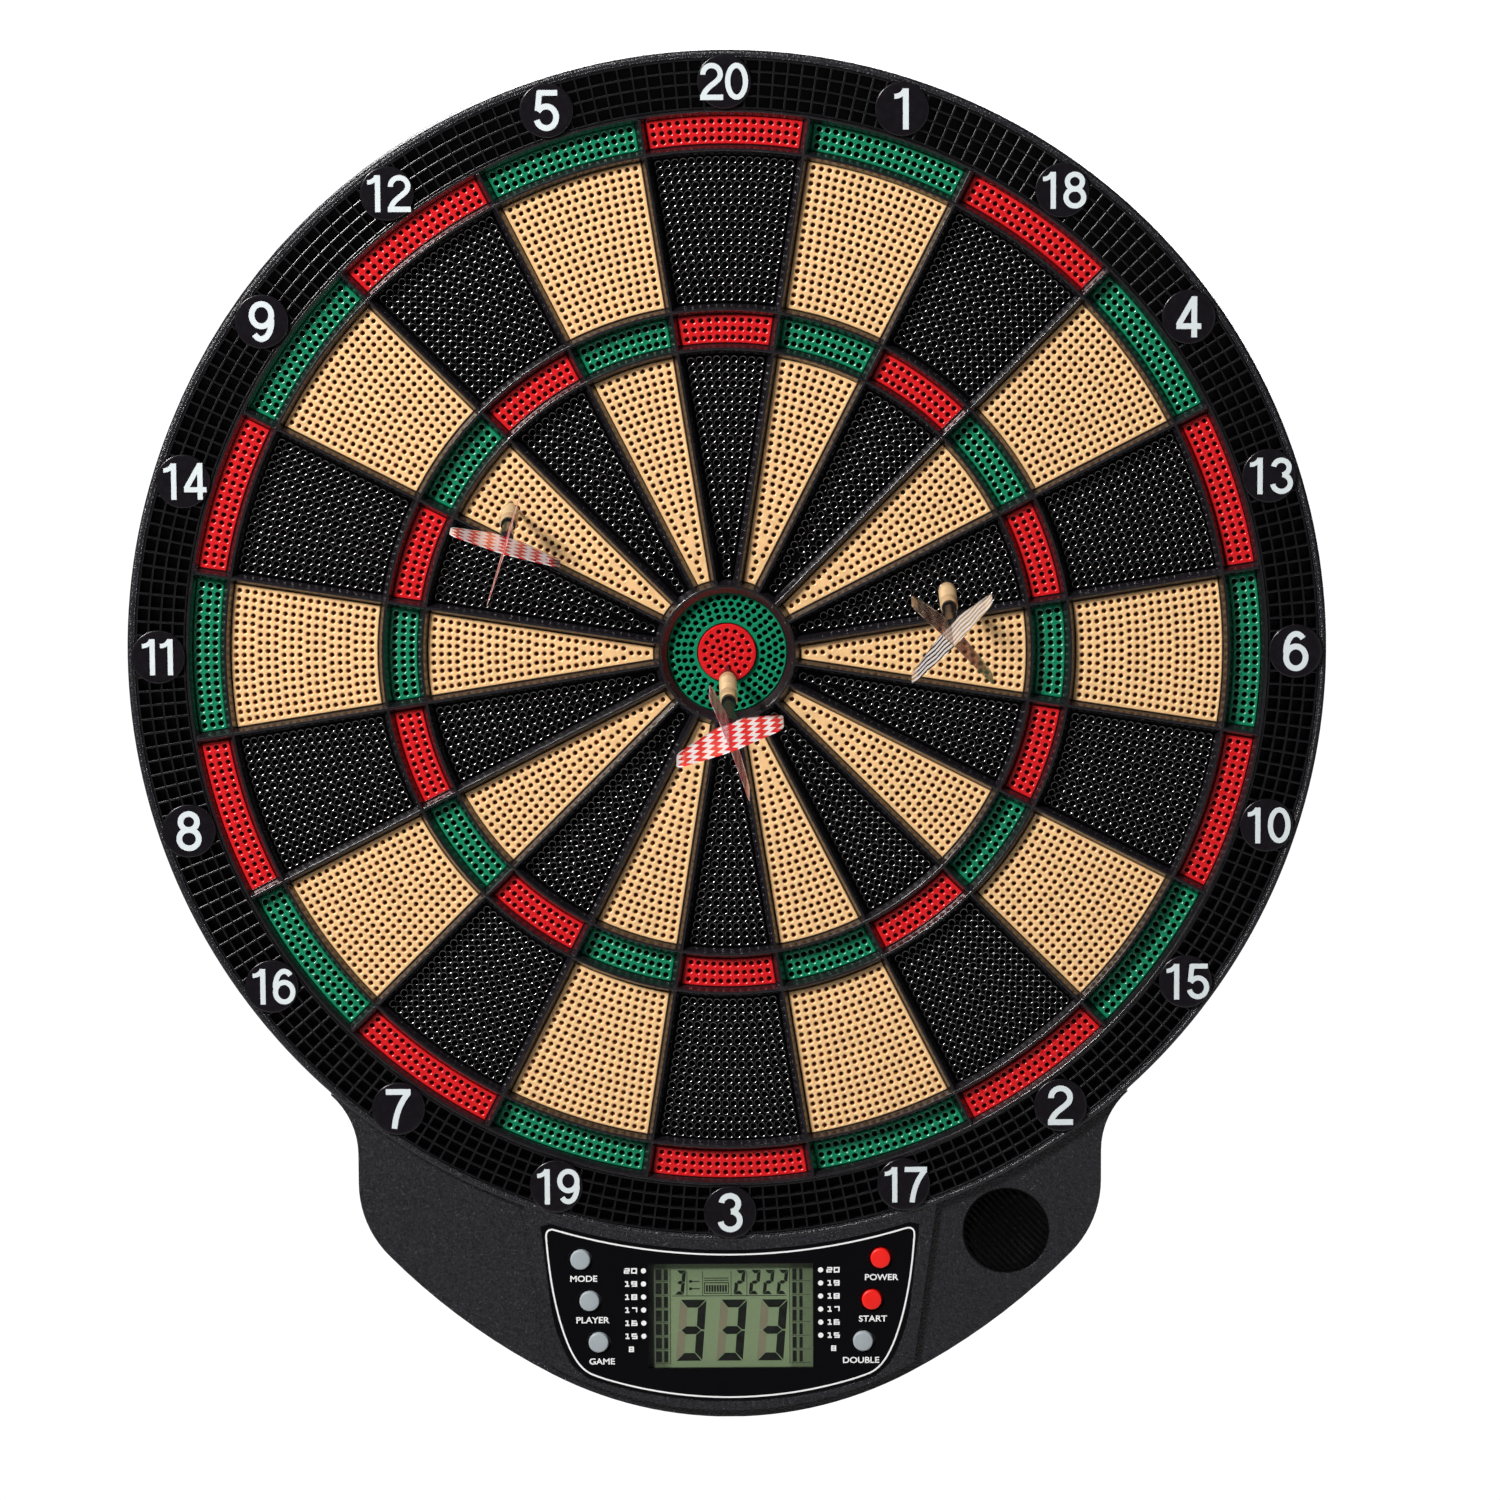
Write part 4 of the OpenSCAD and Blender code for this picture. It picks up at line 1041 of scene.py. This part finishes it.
def build_flight(dart, tag, material, slot, across, normal, ahead, start, bow):
    """One sheet of film, bent a little along its span, with its place on the wing kept for the print."""
    columns, lines = 10, 12
    shell = Shell()
    wing = []
    levels = sorted({round(p[1], 2) for p in FLIGHT_SIDE} | {FLIGHT_L * i / lines for i in range(lines + 1)})

    def span(v):
        """Half span at a distance along the flight."""
        best = 0.0
        for (x0, y0), (x1, y1) in zip(FLIGHT_SIDE, FLIGHT_SIDE[1:]):
            if min(y0, y1) <= v <= max(y0, y1) and y1 != y0:
                best = max(best, x0 + (x1 - x0) * (v - y0) / (y1 - y0))
        return best

    def edge(grid):
        """The points around a grid, anticlockwise."""
        return grid[0] + [r[-1] for r in grid[1:-1]] + grid[-1][::-1] + [r[0] for r in grid[-2:0:-1]]

    rows = [v for v in levels if span(v) > 0.3]
    grids = []
    for face in (1, -1):
        grid = []
        for v in rows:
            row = []
            for i in range(columns + 1):
                u = (2 * i / columns - 1) * span(v)
                lift = bow * ((u / FLIGHT_SPAN) ** 2 - 0.1) * (v / FLIGHT_L) + face * FILM_T / 2
                row.append(len(shell.points))
                shell.points.append((start + across * (u * MM) + ahead * (v * MM) + normal * (lift * MM))[:])
                wing.append((u, v, 0.0))
            grid.append(row)
        for a, b in zip(grid, grid[1:]):
            shell.band(*((a, b) if face > 0 else (b, a)), smooth=True, closed=False)
        grids.append(grid)
    shell.band(edge(grids[1]), edge(grids[0]))
    piece = shell.build(f"{dart}_wing_{tag}", [material], Vector)
    attribute = piece.data.attributes.new("wing", "FLOAT_VECTOR", "POINT")
    attribute.data.foreach_set("vector", [c for p in wing for c in p])
    settle(piece, dart, slot, dart + "_flight")
    piece.visible_shadow = False


def build_darts():
    """The crossed flights; like the stems and barrels they throw no shadow on the board under this light."""
    for dart, wings in DARTS.items():
        ahead, start, wide, tall = dart_axes(dart)
        bows = (-0.8, -0.6)  # millimetres
        for (tag, material, slot), across, normal, bow in zip(wings, (wide, tall), (-tall, wide), bows):
            build_flight(dart, tag, material, slot, across, normal, ahead, start, bow)


# ---- CAD nodes


def paint_cad():
    """Gives every CAD node that stays its material."""
    looks = {"front_housing": HOUSING, "spider": RIB, "rear_cover": REAR, "battery_door": REAR,
             "faceplate": PANEL, "window_lens": WINDOW, "lcd_panel": LCD, "circuit_board": BOARD,
             "tact_switches": SWITCH, "foam_mat": FOAM, "membrane_switch": MEMBRANE, "ribbon_cable": RIBBON,
             "speaker": SPEAKER, "wire_harness": WIRE, "batteries": BATTERY, "battery_contacts": CONTACT,
             "screws": STEEL}
    for dart in DARTS:
        looks.update({dart + "_tip": TIP, dart + "_barrel": BRASS, dart + "_stem": STEM})
        for part in ("_barrel", "_stem"):
            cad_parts[dart + part].visible_shadow = False
    for node, material in looks.items():
        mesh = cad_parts[node]
        for slot in mesh.material_slots:
            slot.material = material


# ---- camera, light, stage

RISE = math.radians(6.3)  # the camera looks down on the board by this much
DISTANCE = 2044 * MM
LENS = 137.3
AIM = (8.0, -35.0)  # what the camera's middle looks at, right and up from the bull
ROLL = math.radians(-0.28)


def area_light(name, target, towards, distance, size, power, colour):
    light = bpy.data.lights.new(name, "AREA")
    light.shape = "RECTANGLE"
    light.size, light.size_y = size
    light.energy = power
    light.color = colour
    lamp = add_object(name, light)
    lamp.location = target + Vector(towards).normalized() * distance
    lamp.rotation_euler = (target - lamp.location).to_track_quat("-Z", "Y").to_euler()


def build_stage():
    bull = Vector((0, -SEGMENT_FACE * MM, 0))
    camera = bpy.data.cameras.new("camera")
    camera.lens = LENS
    camera.sensor_width = 36
    eye = add_object("camera", camera)
    eye.location = bull + Vector((0, -math.cos(RISE), math.sin(RISE))) * DISTANCE
    aim = bull + Vector((AIM[0], 0, AIM[1])) * MM
    look = (aim - eye.location).to_track_quat("-Z", "Y")
    eye.rotation_mode = "QUATERNION"
    eye.rotation_quaternion = look @ Matrix.Rotation(ROLL, 3, "Z").to_quaternion()
    bpy.context.scene.camera = eye

    # A board hangs with its bull 1.73 m above the floor
    size, drop = 30.0, -1.73
    white, bright = (1, 1, 1, 1), 1.05  # the backdrop that the camera sees
    mesh = bpy.data.meshes.new("floor")
    corners = [(-size, -size, drop), (size, -size, drop), (size, size, drop), (-size, size, drop)]
    mesh.from_pydata(corners, [], [(0, 1, 2, 3)])
    pale = Paint("floor", (0.86, 0.86, 0.86), 0.9)
    glow = pale.add("ShaderNodeEmission", Color=white, Strength=bright)
    pale.blend(pale.add("ShaderNodeLightPath").outputs["Is Camera Ray"], pale.shader, glow)
    mesh.materials.append(pale.material)
    add_object("floor", mesh)

    world = bpy.data.worlds.new("studio")
    bpy.context.scene.world = world
    world.use_nodes = True
    sky = Nodes(world.node_tree, "ShaderNodeOutputWorld")
    soft = sky.add("ShaderNodeBackground", Color=(0.95, 0.97, 1.0, 1), Strength=0.06)
    seen = sky.add("ShaderNodeBackground", Color=white, Strength=bright)
    sky.blend(sky.add("ShaderNodeLightPath").outputs["Is Camera Ray"], soft, seen)

    # Direction from the bull, distance in metres, size in metres, watts and colour
    area_light("key", bull, (-0.9, -1.0, 0.9), 2.6, (0.5, 0.5), 106, (1.0, 0.985, 0.96))
    area_light("fill", bull, (0.9, -1.3, -0.2), 3.0, (1.6, 1.6), 4, (0.93, 0.96, 1.0))
    area_light("rim", bull, (0.1, 0.2, 1.0), 2.2, (1.6, 0.5), 1.2, (1.0, 1.0, 1.0))
    area_light("rear", bull, (0.1, 1.2, 0.2), 2.6, (1.4, 1.4), 40, (1.0, 1.0, 1.0))
    bpy.context.scene.view_settings.view_transform = "Standard"


paint_cad()
build_segments()
build_bulls()
build_rim()
build_catch_ring()
build_numbers()
build_panel()
build_buttons()
build_display()
build_darts()
build_stage()
